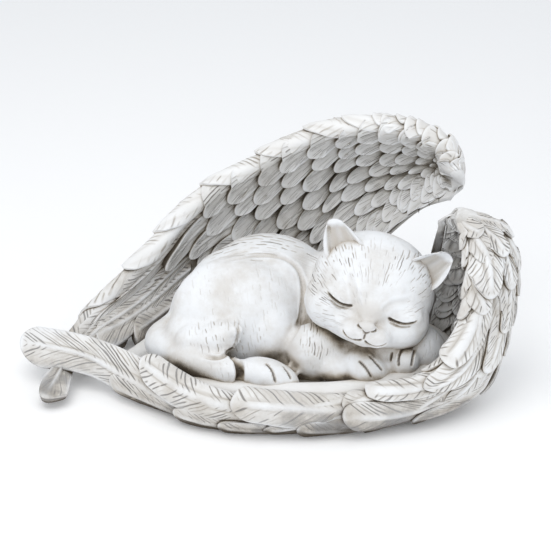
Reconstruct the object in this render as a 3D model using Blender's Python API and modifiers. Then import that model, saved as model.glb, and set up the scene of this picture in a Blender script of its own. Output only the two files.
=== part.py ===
"""Pet memorial statue: a kitten asleep in a nest of two cupped wings, cast in one piece.

The statue stands on its flat underside, +Z up, with its long side along X: the wings' shoulders are at
+X, their long feathers cross at -X, and the kitten's face looks towards -Y. Every place and size below is
in millimetres of a statue 195 long, so LENGTH alone sets the scale. The masses are Blender primitives,
curves and bent grids; voxel remeshes fuse them into one skin, as the mould does, and the finer lines are
then pressed into that skin.
"""

import math

import bmesh
import bpy
import numpy as np
from mathutils import Matrix, Vector

LENGTH = 0.195
UNIT = LENGTH / 195

# The wings: a body under the feathers, with a rim that is rounded and covered by feathers of its own.
SHEET_THICKNESS = 4.6
RIM_WIDTH = 12
FLOOR = 8

# The kitten's head: its place, and its roll, lift and turn in degrees.
HEAD_CENTRE = (40.5, -14, 43.5)
HEAD_ROLL = 16.5
HEAD_TILT = -14
HEAD_TURN = -5

# The statue is carved to be seen from the front and this many degrees above.
SHOW_ANGLE = 28

# How the casting is fused and thinned out.
VOXEL = 0.85
TRIANGLES = 9300
STONE_COLOUR = (0.80, 0.78, 0.73, 1.0)

# Each wing is a curved sheet. Its stations run from the shoulder to the tip, and each gives the sheet's
# lower edge, the fullest point of its belly and its rim.
FAR_STATIONS = [
    ((71.5, 25.5, 64), (75, 29, 72), (73, 22, 79)),
    ((62, 31, 57.5), (70, 40, 73), (69, 28, 86.5)),
    ((50, 36, 44), (55, 50, 67), (53, 33, 91.5)),
    ((31, 42, 20), (34, 56, 58), (34, 38, 89.5)),
    ((13, 43, 2), (16, 57, 45), (17, 42, 83.5)),
    ((-8, 43, 1), (-8, 55, 36), (-6, 45, 69.5)),
    ((-30, 36, 1), (-31, 49, 27), (-29, 42, 55)),
    ((-50, 22, 2), (-53, 33, 17), (-50, 32, 34)),
    ((-66, 0, 2), (-73, 12, 9), (-72, 19, 14)),
    ((-80, -29, 2), (-85, -25, 3.5), (-88, -21, 4.5)),
]
NEAR_STATIONS = [
    ((67, -2, 66), (78, -8, 71.5), (76.5, -17, 70.5)),
    ((66, 2, 54), (87, -7, 64), (78, -22, 62)),
    ((65, 8, 38), (91, -8, 50), (78, -26, 53)),
    ((62, 6, 14), (89, -13, 29), (75.5, -33, 38)),
    ((56, -16, 2), (78, -31, 11), (64, -40, 21)),
    ((35, -37, 0), (42, -46, 7), (38, -45.5, 14)),
    ((8, -42, 0), (8, -49, 7), (8, -48, 13.5)),
    ((-22, -38, 0), (-23, -44.5, 8), (-22, -44, 14.5)),
    ((-47, -27, 3.5), (-49, -27.5, 10), (-49, -22, 15)),
    ((-69, -16, 6.5), (-70, -12.5, 11.5), (-70, -8, 16)),
    ((-94, -9, 7), (-97, -3, 11.5), (-98, 4, 14)),
]


# ---- Tools of the modeller --------------------------------------------------------------------------------

def unit(vectors):
    return vectors / np.linalg.norm(vectors, axis=1, keepdims=True)


def spline(points, share):
    """Points at shares 0 to 1 of a smooth curve through the given points; past 1 it runs straight on."""
    points = np.asarray(points, float)
    padded = np.vstack([2 * points[0] - points[1], points, 2 * points[-1] - points[-2]])
    reach = np.clip(share, 0, 1) * (len(points) - 1)
    first = np.minimum(reach.astype(int), len(points) - 2)
    f = (reach - first)[:, None]
    a, b, c, d = (padded[first + k] for k in range(4))
    curve = b + 0.5 * f * (c - a + f * (2 * a - 5 * b + 4 * c - d + f * (3 * (b - c) + d - a)))
    beyond = np.maximum(share - 1, 0)[:, None] * (len(points) - 1)
    return curve + beyond * (points[-1] - points[-2])


def linked(name, mesh):
    made = bpy.data.objects.new(name, mesh)
    bpy.context.scene.collection.objects.link(made)
    return made


def evaluated(source):
    """A new mesh of the object as its modifiers and bevels make it."""
    bpy.context.view_layer.update()
    return bpy.data.meshes.new_from_object(source.evaluated_get(bpy.context.evaluated_depsgraph_get()))


def mass(name, centre, half_axes, turn=(0, 0, 0), frame=Matrix.Identity(4)):
    """An ellipsoid of clay: its centre, half axes and turn in degrees, in the given frame."""
    bpy.ops.mesh.primitive_uv_sphere_add(segments=32, ring_count=20, radius=1)
    ball = bpy.context.object
    ball.name = name
    about_x, about_y, about_z = (math.radians(angle) for angle in turn)
    place = Matrix.Translation(centre) @ Matrix.Rotation(about_z, 4, "Z")
    place = place @ Matrix.Rotation(about_y, 4, "Y") @ Matrix.Rotation(about_x, 4, "X")
    ball.data.transform(Matrix.Scale(UNIT, 4) @ frame @ place @ Matrix.Diagonal((*half_axes, 1)))
    return ball


def limb(name, route):
    """A tapering limb: a smooth tube through (x, y, z, radius) points, with round ends."""
    curve = bpy.data.curves.new(name, "CURVE")
    curve.dimensions = "3D"
    curve.bevel_depth = 1
    curve.bevel_resolution = 4
    curve.use_fill_caps = True
    fine = spline(np.array(route) * UNIT, np.linspace(0, 1, 8 * len(route)))
    line = curve.splines.new("POLY")
    line.points.add(len(fine) - 1)
    for knot, (x, y, z, radius) in zip(line.points, fine):
        knot.co = (x, y, z, 1)
        knot.radius = radius
    guide = linked(name, curve)
    tube = bmesh.new()
    tube.from_mesh(evaluated(guide))
    bmesh.ops.remove_doubles(tube, verts=tube.verts, dist=0.01 * UNIT)
    mesh = bpy.data.meshes.new(name)
    tube.to_mesh(mesh)
    tube.free()
    bpy.data.objects.remove(guide)
    ends = [mass(name + "_end", point[:3], (point[3],) * 3) for point in (route[0], route[-1])]
    return [linked(name, mesh), *ends]


def bent_grid(name, across, along, bend, thickness):
    """A grid bent by bend(u, v), with u and v from 0 to 1, as a closed shell of that thickness."""
    sheet = bmesh.new()
    bmesh.ops.create_grid(sheet, x_segments=along, y_segments=across, size=0.5)
    spots = np.array([vertex.co for vertex in sheet.verts]) + 0.5
    for vertex, point in zip(sheet.verts, bend(spots[:, 0], spots[:, 1])):
        vertex.co = point
    mesh = bpy.data.meshes.new(name)
    sheet.to_mesh(mesh)
    sheet.free()
    made = linked(name, mesh)
    shell = made.modifiers.new("Thickness", "SOLIDIFY")
    shell.thickness = thickness * UNIT
    shell.offset = 0
    return made


def fused(name, pieces, softness):
    """One object with one skin round all the pieces. Softness is how many times the skin is smoothed."""
    joined = bmesh.new()
    for piece in pieces:
        joined.from_mesh(evaluated(piece))
        bpy.data.objects.remove(piece)
    mesh = bpy.data.meshes.new(name)
    joined.to_mesh(mesh)
    joined.free()
    rough = linked(name, mesh)
    skin = rough.modifiers.new("Skin", "REMESH")
    skin.mode = "VOXEL"
    skin.voxel_size = VOXEL * UNIT
    soften = rough.modifiers.new("Soften", "SMOOTH")
    soften.iterations = softness
    made = linked(name, evaluated(rough))
    bpy.data.objects.remove(rough)
    made.name = name
    return made


# ---- The wings --------------------------------------------------------------------------------------------

class Wing:
    """The sheet under the feathers, and places on it: `along` from the shoulder, `over` round the rim."""

    def __init__(self, stations, outward):
        self.lower, self.belly, self.rim = (np.array(line, float) * UNIT for line in zip(*stations))
        self.outward = outward
        self.shares = np.linspace(0, 1, 240)
        rows = [self.at(self.shares, np.full(240, height)) for height in np.linspace(0, 1, 12)]
        self.depth = np.linalg.norm(np.diff(rows, axis=0), axis=2).sum(axis=0)
        middle = np.linalg.norm(np.diff(rows[7], axis=0), axis=1)
        self.run = np.concatenate([[0], np.cumsum(middle)])
        self.length = self.run[-1]

    def at(self, share, height):
        """Points of the sheet: share 0 to 1 from shoulder to tip, height 0 to 1 from lower edge to rim."""
        low, belly, rim = (spline(line, share) for line in (self.lower, self.belly, self.rim))
        bow = 2 * belly - (low + rim) / 2
        height = height[:, None]
        return (1 - height) ** 2 * low + 2 * height * (1 - height) * bow + height**2 * rim

    def depth_at(self, along):
        return np.interp(along, self.run, self.depth)

    def place(self, along, over, lift):
        """Points that far along, over the rim and out from the sheet, all in metres.

        `over` is measured round the rounded rim: above zero down the outer face, below zero down the
        inner one. A point below the sheet's lower edge is brought back to it."""
        edge = SHEET_THICKNESS / 2 * UNIT
        turn = np.clip(over / edge, -np.pi / 2, np.pi / 2)
        down = np.maximum(np.abs(over) - np.pi / 2 * edge, 0)
        beyond = np.maximum(along - self.length, 0) / self.length
        share = np.interp(along, self.run, self.shares) + beyond
        height = np.maximum(1 - down / self.depth_at(along), -0.02)
        step = 1e-3
        point = self.at(share, height)
        ahead = self.at(share + step, height) - self.at(share - step, height)
        up = self.at(share, height + step) - self.at(share, height - step)
        normal = unit(np.cross(ahead, up)) * self.outward
        up = unit(np.cross(normal, ahead)) * self.outward
        facing = np.cos(turn)[:, None] * up + np.sin(turn)[:, None] * normal
        return point + (edge + lift)[:, None] * facing


def outline(a, length, width):
    """A feather's half width at share a of its length: slim root, full middle and a round tip."""
    root = 0.55 + 0.45 * np.sin(np.pi / 2 * np.minimum(a / 0.6, 1))
    cap = 1 - min(0.8, 0.55 * width / length)
    rounding = np.clip((a - cap) / (1 - cap), 0, 0.97)
    return width / 2 * root * np.sqrt(1 - rounding**2)


def feather(name, wing, tip, over, length, width, slant=0, lift=2.4, thickness=2.0):
    """One feather that ends `tip` units along the wing, with its middle `over` units round the rim."""

    def bend(u, v):
        a = 1 - (1 - u) ** 1.4
        half = outline(a, length, width)
        across = (2 * v - 1) * half
        along = tip - length * (1 - a)
        rise = lift * a**1.3 + 0.6 * (1 - (2 * v - 1) ** 2) - 1
        sideways = over + across + math.tan(math.radians(slant)) * length * (a - 1)
        return wing.place(along * UNIT, sideways * UNIT, rise * UNIT)

    return bent_grid(name, 4, 9, bend, thickness)


def feather_row(name, wing, over, first, last, pitch, width, slant, reach, lift):
    """Overlapping feathers from `first` to `last` along the wing. Pitch, width and over run from the value
    at the shoulder to the value at the far end."""
    made = []
    tip = first
    while tip <= last:
        grown = (tip - first) / max(last - first, 1)
        step, wide, middle = (low + grown * (high - low) for low, high in (pitch, width, over))
        room = min(wing.depth_at(tip * UNIT), wing.depth_at((tip - 0.5 * reach * step) * UNIT)) / UNIT
        if abs(middle) < room + 0.1 * wide:
            made.append(feather(name, wing, tip, middle, reach * step, wide, slant, lift))
        tip += step
    return made


def covert_field(name, wing, side, rows, first, last, pitch, width, slant, reach, lift):
    """Staggered rows of feathers on the wing's outer (1) or inner (-1) face, from the rim downwards."""
    made = []
    for row in range(rows):
        begin = first + (pitch[0] / 2 if row % 2 else 0)
        over = [side * (RIM_WIDTH / 2 + (row + 0.5) * wide) for wide in width]
        covers = [1.3 * wide for wide in width]
        made += feather_row(name, wing, over, begin, last, pitch, covers, side * slant, reach, lift)
    return made


def wing_sheet(name, wing, end):
    """The body of the wing under its feathers."""

    def bend(u, v):
        return wing.at(end * u, v)

    return bent_grid(name, 14, 60, bend, SHEET_THICKNESS)


def far_wing(wing):
    """The tall wing behind the kitten."""
    end = wing.length / UNIT
    made = [wing_sheet("far_sheet", wing, 0.92)]
    made += covert_field("far_inner", wing, -1, 7, 8, end - 36, (9, 24), (7.5, 11), 8, 1.8, 2.6)
    made += covert_field("far_outer", wing, 1, 5, 12, end - 24, (18, 32), (14, 15), 8, 1.8, 2.6)
    made += feather_row("far_rim", wing, (-2, -2), 12, end - 40, (10, 30), (13, 15), 0, 1.8, 3.0)
    for short, over, lift in ((0, -9.4, -1.6), (13, -7, 0.4), (26, -16, 1.4), (24, 12, 1)):
        made.append(feather("far_primary", wing, end - short, over, 74, 12, 0, lift, 4))
    return made


def near_wing(wing):
    """The low wing in front, whose shoulder rises at the right."""
    end = wing.length / UNIT
    made = [wing_sheet("near_sheet", wing, 0.92)]
    made += covert_field("near_inner", wing, -1, 6, 8, end - 70, (9, 18), (7.5, 9), 6, 1.8, 2.2)
    made += covert_field("near_outer", wing, 1, 5, 10, end - 50, (13, 30), (10, 8.5), 10, 1.9, 3)
    made += feather_row("near_rim", wing, (0, 2), 12, end - 56, (12, 36), (13, 15), 0, 1.7, 2.6)
    for short, over, lift in ((0, 9.9, -1.6), (22, 13, 1.6), (48, 6, 1.6)):
        made.append(feather("near_primary", wing, end - short, over, 78, 13.5, 0, lift, 4))
    return made


def plate(name, far, near, reach, height, thickness):
    """A level plate from the far wing's foot, that share of the way to the near wing's."""

    def bend(u, v):
        back, front = spline(far.lower, 0.45 + 0.47 * u), spline(near.lower, 0.32 + 0.58 * u)
        point = back + reach * v[:, None] * (front - back)
        point[:, 2] = height * UNIT
        return point

    return bent_grid(name, 10, 24, bend, thickness)


def nest(far, near):
    """The floor, a thinner shelf that joins it to the low wing, and the bed heaped up round the kitten."""
    made = [
        plate("floor", far, near, 0.86, FLOOR / 2, FLOOR),
        plate("shelf", far, near, 1, 0.9 * FLOOR, 0.6 * FLOOR),
        mass("cushion", (12, 2, 4), (58, 36, 12)),
        mass("foot", (62, -2, 8), (21, 23, 15)),
    ]
    made += limb("front_bed", [(-46, -21, 9, 5), (-28, -33, 9, 6), (0, -40, 9, 6.5), (34, -39, 9, 7),
                               (58, -28, 10, 8), (70, -10, 12, 9)])
    made += limb("back_bed", [(-58, 0, 7, 5), (-50, 14, 8, 7), (-38, 28, 10, 9), (-8, 38, 13, 10),
                              (22, 37, 14, 10), (46, 24, 13, 10), (64, 6, 12, 9)])
    return made


# ---- The kitten -------------------------------------------------------------------------------------------

def head_frame():
    """From the head's own axes to the statue's: x to its left cheek (+X), y back from the nose, z up."""
    turn = Matrix.Rotation(math.radians(HEAD_ROLL), 4, "Y") @ Matrix.Rotation(math.radians(HEAD_TURN), 4, "Z")
    return Matrix.Translation(HEAD_CENTRE) @ turn @ Matrix.Rotation(math.radians(HEAD_TILT), 4, "X")


def ear(frame, side):
    """A cupped, rounded triangle standing on the skull, hollow towards the front."""
    base_in, base_out = Vector((9 * side, -8, 14.5)), Vector((23 * side, -4.5, 4))
    tip = Vector((23 * side, -5, 22.5))

    def bend(u, v):
        """u runs across the ear from its inner to its outer base, v from its base to its tip."""
        points = []
        for across, up in zip(u, v):
            foot = base_in.lerp(base_out, across)
            point = foot.lerp(tip + Vector((side * 5 * (across - 0.5), 0, -3 * abs(across - 0.5))), up**0.9)
            cup = 5 * math.sin(math.pi * across) * (1 - up) ** 0.7
            flare = 3.2 * math.sin(math.pi * up) * (across - 0.5) * side
            points.append(frame @ (point + Vector((flare, cup, 0))) * UNIT)
        return points

    return bent_grid("ear", 8, 8, bend, 2.8)


def head(frame):
    made = [
        mass("skull", (0, 2, 1), (24, 21, 21), frame=frame),
        mass("jaw", (0, -6, -11), (19, 13, 9.5), frame=frame),
        mass("muzzle", (0, -15.5, -13.5), (8.5, 7.5, 5), frame=frame),
        mass("bridge", (0, -13, -3), (7, 7.5, 9), (-18, 0, 0), frame),
        mass("nose", (0, -21.6, -9.2), (3.4, 2.8, 2.4), frame=frame),
    ]
    for side in (-1, 1):
        made += [
            mass("cheek", (13.5 * side, -3, -7.5), (11.3, 13, 11.5), frame=frame),
            mass("whisker_pad", (4.6 * side, -17.4, -13), (5.8, 5.4, 4.4), frame=frame),
            mass("eyelid", (12.6 * side, -11.4, -2.8), (8.2, 5.9, 5.2), frame=frame),
        ]
    return fused("head", made, 14)


def body():
    made = [
        mass("back", (0, 14, 26), (28, 26, 25)),
        mass("loin", (-8, 12, 26), (26, 24, 21.5)),
        mass("rump", (-18, 8, 20), (22, 22, 20)),
        mass("shoulders", (28, 8, 27), (25, 22, 20), (0, -5, -10)),
        mass("neck", (36, 0, 34), (18, 16, 16)),
        mass("belly", (15, -10, 12), (24, 16, 13)),
        mass("throat", (42, -19, 25), (14, 10, 8)),
    ]
    return fused("body", made, 12)


def limbs():
    made = [
        mass("thigh", (-11.5, -4, 28), (26.5, 15, 22.5), (-25, 0, 0)),
        mass("knee", (1, -10, 22), (11.5, 11, 14)),
        mass("shank", (-27, -18.5, 24), (9.5, 6.5, 6.5)),
        mass("hock", (-19.5, -21.5, 26.5), (10, 6.5, 6.5), (0, -25, 0)),
        mass("heel", (-12, -24.8, 32), (2.8, 3, 2.6)),
        mass("hind_paw", (0.5, -32, 15.5), (12.5, 8, 6.5), (0, 20, -5)),
        mass("upper_arm", (19.5, -20, 19.5), (12.5, 10, 12)),
        mass("forearm", (29, -25, 16), (12, 8.5, 7.5), (0, 5, -5)),
        mass("left_paw", (37.8, -30, 18.6), (9.5, 8, 6.4), (0, 25, -20)),
        mass("right_arm", (61, -18, 18.5), (9, 9.5, 12), (0, -25, 0)),
        mass("right_paw", (52.3, -27, 19.2), (6.6, 7, 6.8), (0, 0, 10)),
    ]
    made += limb("tail", [(-37, 4, 16, 7), (-42.5, -5, 15.5, 6.8), (-38, -14, 16, 6.6), (-29, -23, 17.5, 6.4),
                          (-15, -31.5, 17.5, 5.8)])
    return fused("limbs", made, 3)


# ---- Lines pressed into the skin --------------------------------------------------------------------------
# Each line is drawn in a flat frame, x to the right and z up, and pressed in along that frame's y axis. Its
# points come with the width and depth of the groove.

FACE_LINES = [
    ([(6.6, -4.6), (9, -5.5), (12.6, -5.6), (15.9, -4.5), (19, -2.6)], 0.9, 1.3),
    ([(-6.8, -4.0), (-9, -5.0), (-12, -4.9), (-15.3, -3.8), (-18.8, -1.6)], 0.9, 1.3),
    ([(3.7, -8.4), (3.2, -10), (0, -11.6), (-3.2, -10), (-3.7, -8.4)], 0.8, 0.8),
    ([(0, -11.6), (0.1, -14.3), (2, -16), (5, -16.5), (8.2, -15.2)], 0.8, 1.0),
    ([(0.1, -14.3), (-1.8, -15.9), (-4.6, -16.3), (-7, -15.2)], 0.8, 1.0),
]
PAW_LINES = [
    ([(34.3, 5.4), (37.4, 2.2), (40, -2.3)], 0.8, 1.1),
    ([(38.4, 7.3), (44.4, 0.6)], 0.8, 1.1),
    ([(47.8, 8.3), (47, 4.3)], 0.8, 1.0),
    ([(52.2, 10.5), (50.3, 6.6), (50, 2)], 0.8, 1.1),
    ([(56.8, 9.5), (55.8, 6.6), (55.1, 2)], 0.8, 1.0),
    ([(-1.3, 4.3), (1.6, 1), (3.2, -4.1)], 0.8, 1.1),
    ([(5.4, 3.4), (7.7, 0.4), (9.2, -2.6)], 0.8, 1.1),
]


def show_frame():
    """The flat frame that faces the onlooker."""
    return Matrix.Rotation(math.radians(-SHOW_ANGLE), 4, "X")


def press(statue, frame, lines, front):
    """Presses lines into the part of the skin in front of local y = front."""
    mesh = statue.data
    points = np.empty(len(mesh.vertices) * 3)
    mesh.vertices.foreach_get("co", points)
    normals = np.empty(len(mesh.vertices) * 3)
    mesh.vertex_normals.foreach_get("vector", normals)
    points, normals = points.reshape(-1, 3) / UNIT, normals.reshape(-1, 3)
    away = np.array(frame.inverted())
    local = points @ away[:3, :3].T + away[:3, 3]
    facing = np.clip(-(normals @ away[:3, :3].T)[:, 1] * 2, 0, 1) * (local[:, 1] < front)
    for route, width, depth in lines:
        fine = spline(route, np.linspace(0, 1, 8 * len(route)))
        start, run = fine[:-1], np.diff(fine, axis=0)
        offset = local[:, None, [0, 2]] - start
        share = np.clip((offset * run).sum(axis=2) / (run**2).sum(axis=1), 0, 1)
        gap = np.linalg.norm(offset - share[:, :, None] * run, axis=2).min(axis=1)
        points -= (depth * facing * np.exp(-((gap / width) ** 2)))[:, None] * normals
    mesh.vertices.foreach_set("co", (points * UNIT).ravel())
    mesh.update()


# ---- Finishing --------------------------------------------------------------------------------------------

def thin_out(statue):
    """Collapses the skin to the triangle budget, keeping the most where it curves most."""
    statue.data.calc_loop_triangles()
    collapse = statue.modifiers.new("Thin out", "DECIMATE")
    collapse.ratio = TRIANGLES / len(statue.data.loop_triangles)


def cut_flat(statue, cutters):
    """Saws the underside off flat, so that the statue stands."""
    bpy.ops.mesh.primitive_cube_add(size=1)
    saw = bpy.context.object
    saw.name = "saw"
    size = Matrix.Diagonal((1.5 * LENGTH, LENGTH, 0.2 * LENGTH, 1))
    saw.data.transform(Matrix.Translation((0, 0, -0.1 * LENGTH)) @ size)
    saw.hide_render = True
    saw.display_type = "WIRE"
    file_under(saw, cutters)
    cut = statue.modifiers.new("Flat underside", "BOOLEAN")
    cut.operation = "DIFFERENCE"
    cut.object = saw


def stone():
    finish = bpy.data.materials.new("cast_stone")
    finish.use_nodes = True
    surface = finish.node_tree.nodes["Principled BSDF"]
    surface.inputs["Base Color"].default_value = STONE_COLOUR
    surface.inputs["Roughness"].default_value = 0.8
    return finish


def collection(name):
    made = bpy.data.collections.new(name)
    bpy.context.scene.collection.children.link(made)
    return made


def file_under(thing, folder):
    for old in thing.users_collection:
        old.objects.unlink(thing)
    folder.objects.link(thing)


def centre(statue):
    """Moves the statue until the middle of its outline is over the origin."""
    finished = evaluated(statue)
    corners = np.empty(3 * len(finished.vertices))
    finished.vertices.foreach_get("co", corners)
    bpy.data.meshes.remove(finished)
    corners = corners.reshape(-1, 3)
    middle = (corners.min(axis=0) + corners.max(axis=0)) / 2
    statue.location = (-middle[0], -middle[1], 0)


def main():
    for left in list(bpy.data.objects):
        bpy.data.objects.remove(left)
    far, near, face = Wing(FAR_STATIONS, 1), Wing(NEAR_STATIONS, -1), head_frame()
    kitten = [body(), limbs(), head(face), ear(face, -1), ear(face, 1)]
    statue = fused("statue", kitten + far_wing(far) + near_wing(near) + nest(far, near), 1)
    file_under(statue, collection("pet_memorial_statue"))
    press(statue, face, FACE_LINES, -8)
    press(statue, show_frame(), PAW_LINES, -20)
    thin_out(statue)
    cut_flat(statue, collection("cutters"))
    centre(statue)
    statue.data.materials.append(stone())


main()
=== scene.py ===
# %% [markdown]
# # A kitten asleep in a nest of wings
#
# The real object is one casting in stone resin, about 195 mm long: a kitten curled up between two angel
# wings. It was poured, taken from its mould, washed with thin brown paint and rubbed back again, so the
# high spots are nearly white and every groove keeps some of the wash. This lesson builds its surface in
# the same order: the ground form first, then feather by feather and stroke by stroke, and the wash last,
# with the shade of the hollows painted into it.

# %% Load the frame and the tools
import itertools
import math
from types import SimpleNamespace

import bmesh
import bpy
import numpy as np
from mathutils import Matrix, Vector
from mathutils.kdtree import KDTree


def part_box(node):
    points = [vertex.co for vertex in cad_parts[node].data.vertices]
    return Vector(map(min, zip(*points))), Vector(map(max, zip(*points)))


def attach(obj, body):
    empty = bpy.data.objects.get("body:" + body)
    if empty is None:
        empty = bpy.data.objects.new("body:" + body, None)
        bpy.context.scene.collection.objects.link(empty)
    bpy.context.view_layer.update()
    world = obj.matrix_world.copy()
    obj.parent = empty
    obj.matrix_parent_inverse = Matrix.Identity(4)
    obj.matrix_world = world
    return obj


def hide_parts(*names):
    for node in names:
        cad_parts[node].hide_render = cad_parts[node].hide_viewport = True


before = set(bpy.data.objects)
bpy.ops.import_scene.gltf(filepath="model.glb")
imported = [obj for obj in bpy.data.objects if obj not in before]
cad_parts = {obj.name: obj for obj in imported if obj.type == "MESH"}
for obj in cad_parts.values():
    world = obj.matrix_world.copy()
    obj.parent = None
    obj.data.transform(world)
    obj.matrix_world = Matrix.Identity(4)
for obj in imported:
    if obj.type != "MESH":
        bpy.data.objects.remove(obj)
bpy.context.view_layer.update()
low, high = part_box("statue")
print("the statue measures", [round(1000 * side, 1) for side in high - low], "mm")

# %% [markdown]
# ## One ruler for everything
#
# Places are given in millimetres on the maker's drawing, whose origin is a little off the middle of the
# statue. One scale and one origin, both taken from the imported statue, turn a place on the drawing into a
# place in the scene, so the looks grow with the frame.

# %% From the drawing to the scene
DRAWN_LENGTH = 195.0
DRAWN_MIDDLE = Vector((-0.419, 3.518, 0))
MM = (high.x - low.x) / DRAWN_LENGTH
ORIGIN = Vector(((low.x + high.x) / 2, (low.y + high.y) / 2, low.z)) - DRAWN_MIDDLE * MM


def in_scene(points):
    """Places on the drawing, in millimetres, as places in the scene, in metres, none below the base."""
    points = np.array(points, float)
    points[:, 2] = np.maximum(points[:, 2], 0)
    return points * MM + np.array(ORIGIN)


print("one millimetre of the drawing is", round(1000 * MM, 4), "mm")

# %% [markdown]
# ## Camera, floor and lights
#
# A long lens from 700 mm away flattens the statue as a catalogue picture does. The camera looks down 28
# degrees. The floor and the room are pale, and the lamps are large, so that shadows stay soft and the
# relief is drawn by the wash and by shade in the grooves rather than by hard shadows. The floor glows a
# little, which keeps the paper as pale as the room behind it.

# %% Camera
VIEW_AIM = Vector((2.97, 3.07, 40.8))
VIEW_HEIGHT = math.radians(28)
VIEW_DISTANCE = 700
VIEW_LENS = 115.5

lens = bpy.data.cameras.new("camera")
lens.lens = VIEW_LENS
lens.clip_start = 0.01
camera = bpy.data.objects.new("camera", lens)
bpy.context.scene.collection.objects.link(camera)
back_off = Vector((0, -math.cos(VIEW_HEIGHT), math.sin(VIEW_HEIGHT))) * VIEW_DISTANCE
camera.location = (VIEW_AIM + back_off) * MM + ORIGIN
camera.rotation_euler = (-back_off).to_track_quat("-Z", "Y").to_euler()
bpy.context.scene.camera = camera
bpy.context.scene.view_settings.view_transform = "Standard"
print("the camera stands", [round(side) for side in VIEW_AIM + back_off], "mm from the drawing's origin")

# %% Room and lamps
ROOM_COLOUR, ROOM_STRENGTH = (0.93, 0.96, 1.0, 1), 0.76

world = bpy.data.worlds.new("room")
world.use_nodes = True
room = world.node_tree.nodes["Background"]
room.inputs["Color"].default_value = ROOM_COLOUR
room.inputs["Strength"].default_value = ROOM_STRENGTH
bpy.context.scene.world = world


def lamp(name, place, size, watts, colour):
    """A square soft box at a place on the drawing, turned to the statue."""
    light = bpy.data.lights.new(name, "AREA")
    light.size = size * MM
    light.energy = watts
    light.color = colour
    made = bpy.data.objects.new(name, light)
    bpy.context.scene.collection.objects.link(made)
    made.location = Vector(place) * MM + ORIGIN
    made.rotation_euler = (VIEW_AIM - Vector(place)).to_track_quat("-Z", "Y").to_euler()


lamp("overhead soft box", (-120, -160, 520), size=420, watts=1.15, colour=(1, 0.985, 0.96))
lamp("front soft box", (-260, -520, 260), size=360, watts=0.4, colour=(1, 1, 1))
lamp("right fill", (480, -200, 240), size=360, watts=0.42, colour=(0.94, 0.97, 1))

# %% Floor
FLOOR_REACH = 30 * (high.x - low.x)
FLOOR_GAP = 0.0002
PAPER = {"Base Color": (0.93, 0.93, 0.93, 1), "Roughness": 0.9, "Emission Color": (1, 1, 1, 1),
         "Emission Strength": 0.07}

sheet = bmesh.new()
bmesh.ops.create_grid(sheet, x_segments=1, y_segments=1, size=FLOOR_REACH / 2)
floor_mesh = bpy.data.meshes.new("floor")
sheet.to_mesh(floor_mesh)
sheet.free()
floor = bpy.data.objects.new("floor", floor_mesh)
bpy.context.scene.collection.objects.link(floor)
floor.location.z = low.z - FLOOR_GAP
paper = bpy.data.materials.new("pale paper")
paper.use_nodes = True
for label, value in PAPER.items():
    paper.node_tree.nodes["Principled BSDF"].inputs[label].default_value = value
floor_mesh.materials.append(paper)
print("the floor is", round(FLOOR_REACH, 2), "m wide")

# %% [markdown]
# ## Helpers every piece uses
#
# Three small tools do most of the work. `spline` draws a smooth line through a few chosen points. `cloud`
# is soft noise for the small differences that handwork leaves. `Casting` gathers grids of points into one
# mesh and keeps five values for each point, which the stone reads later. `wash` is how much brown the spot
# holds and `worn` is how much it is rubbed clean. The others guide the fine carved strokes: `across` counts
# them from one to the next, `along` is the way down a stroke in millimetres, and `lines` is their strength.

# %% Smooth lines and noise
def unit(vectors):
    return vectors / np.maximum(np.linalg.norm(vectors, axis=-1, keepdims=True), 1e-9)


def smooth(value, start, end):
    """0 up to start, 1 from end on, and an S curve between."""
    share = np.clip((value - start) / (end - start), 0, 1)
    return share * share * (3 - 2 * share)


def spline(points, share):
    """Points at shares 0 to 1 of a smooth curve through the given points; past 1 it runs straight on."""
    points = np.asarray(points, float)
    padded = np.vstack([2 * points[0] - points[1], points, 2 * points[-1] - points[-2]])
    reach = np.clip(share, 0, 1) * (len(points) - 1)
    first = np.minimum(reach.astype(int), len(points) - 2)
    f = (reach - first)[:, None]
    a, b, c, d = (padded[first + k] for k in range(4))
    curve = b + 0.5 * f * (c - a + f * (2 * a - 5 * b + 4 * c - d + f * (3 * (b - c) + d - a)))
    beyond = np.maximum(share - 1, 0)[:, None] * (len(points) - 1)
    return curve + beyond * (points[-1] - points[-2])


def cloud(points, size, seed):
    """Soft noise from -1 to 1 whose lumps are about `size` across."""
    lattice = np.random.default_rng(seed).uniform(-1, 1, (16, 16, 16))
    spot = np.asarray(points) / size
    cell = np.floor(spot).astype(int)
    share = smooth(spot - cell, 0, 1)
    total = np.zeros(len(spot))
    for corner in itertools.product((0, 1), repeat=3):
        weight = np.prod(np.where(corner, share, 1 - share), axis=1)
        i, j, k = ((cell + corner) % 16).T
        total += weight * lattice[i, j, k]
    return total


# %% A mesh gathered from grids
PAINTS = ("wash", "worn", "across", "along", "lines")


class Casting:
    """Gathers points, faces and paint values of each point, and makes one mesh of them."""

    def __init__(self):
        self.points, self.faces, self.count = [], [], 0
        self.paint = {label: [] for label in PAINTS}

    def add(self, points, wash, worn, across=0.0, along=0.0, lines=0.0):
        """Adds a block of points in the drawing's millimetres and returns their numbers."""
        first = self.count
        self.points.append(points.reshape(-1, 3))
        for label, value in zip(PAINTS, (wash, worn, across, along, lines)):
            self.paint[label].append(np.broadcast_to(value, points.shape[:-1]).ravel())
        self.count += self.points[-1].shape[0]
        return np.arange(first, self.count).reshape(points.shape[:-1])

    def quads(self, numbers, flip=False):
        """Faces between neighbouring rows and columns of a block of numbers."""
        a, b, c, d = numbers[:-1, :-1], numbers[1:, :-1], numbers[1:, 1:], numbers[:-1, 1:]
        corners = (a, d, c, b) if flip else (a, b, c, d)
        self.faces.append(np.stack(corners, axis=-1).reshape(-1, 4))

    def make(self, name):
        mesh = bpy.data.meshes.new(name)
        mesh.from_pydata(in_scene(np.concatenate(self.points)), [], np.concatenate(self.faces).tolist())
        return dressed(name, mesh, {label: np.concatenate(blocks) for label, blocks in self.paint.items()})


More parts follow.
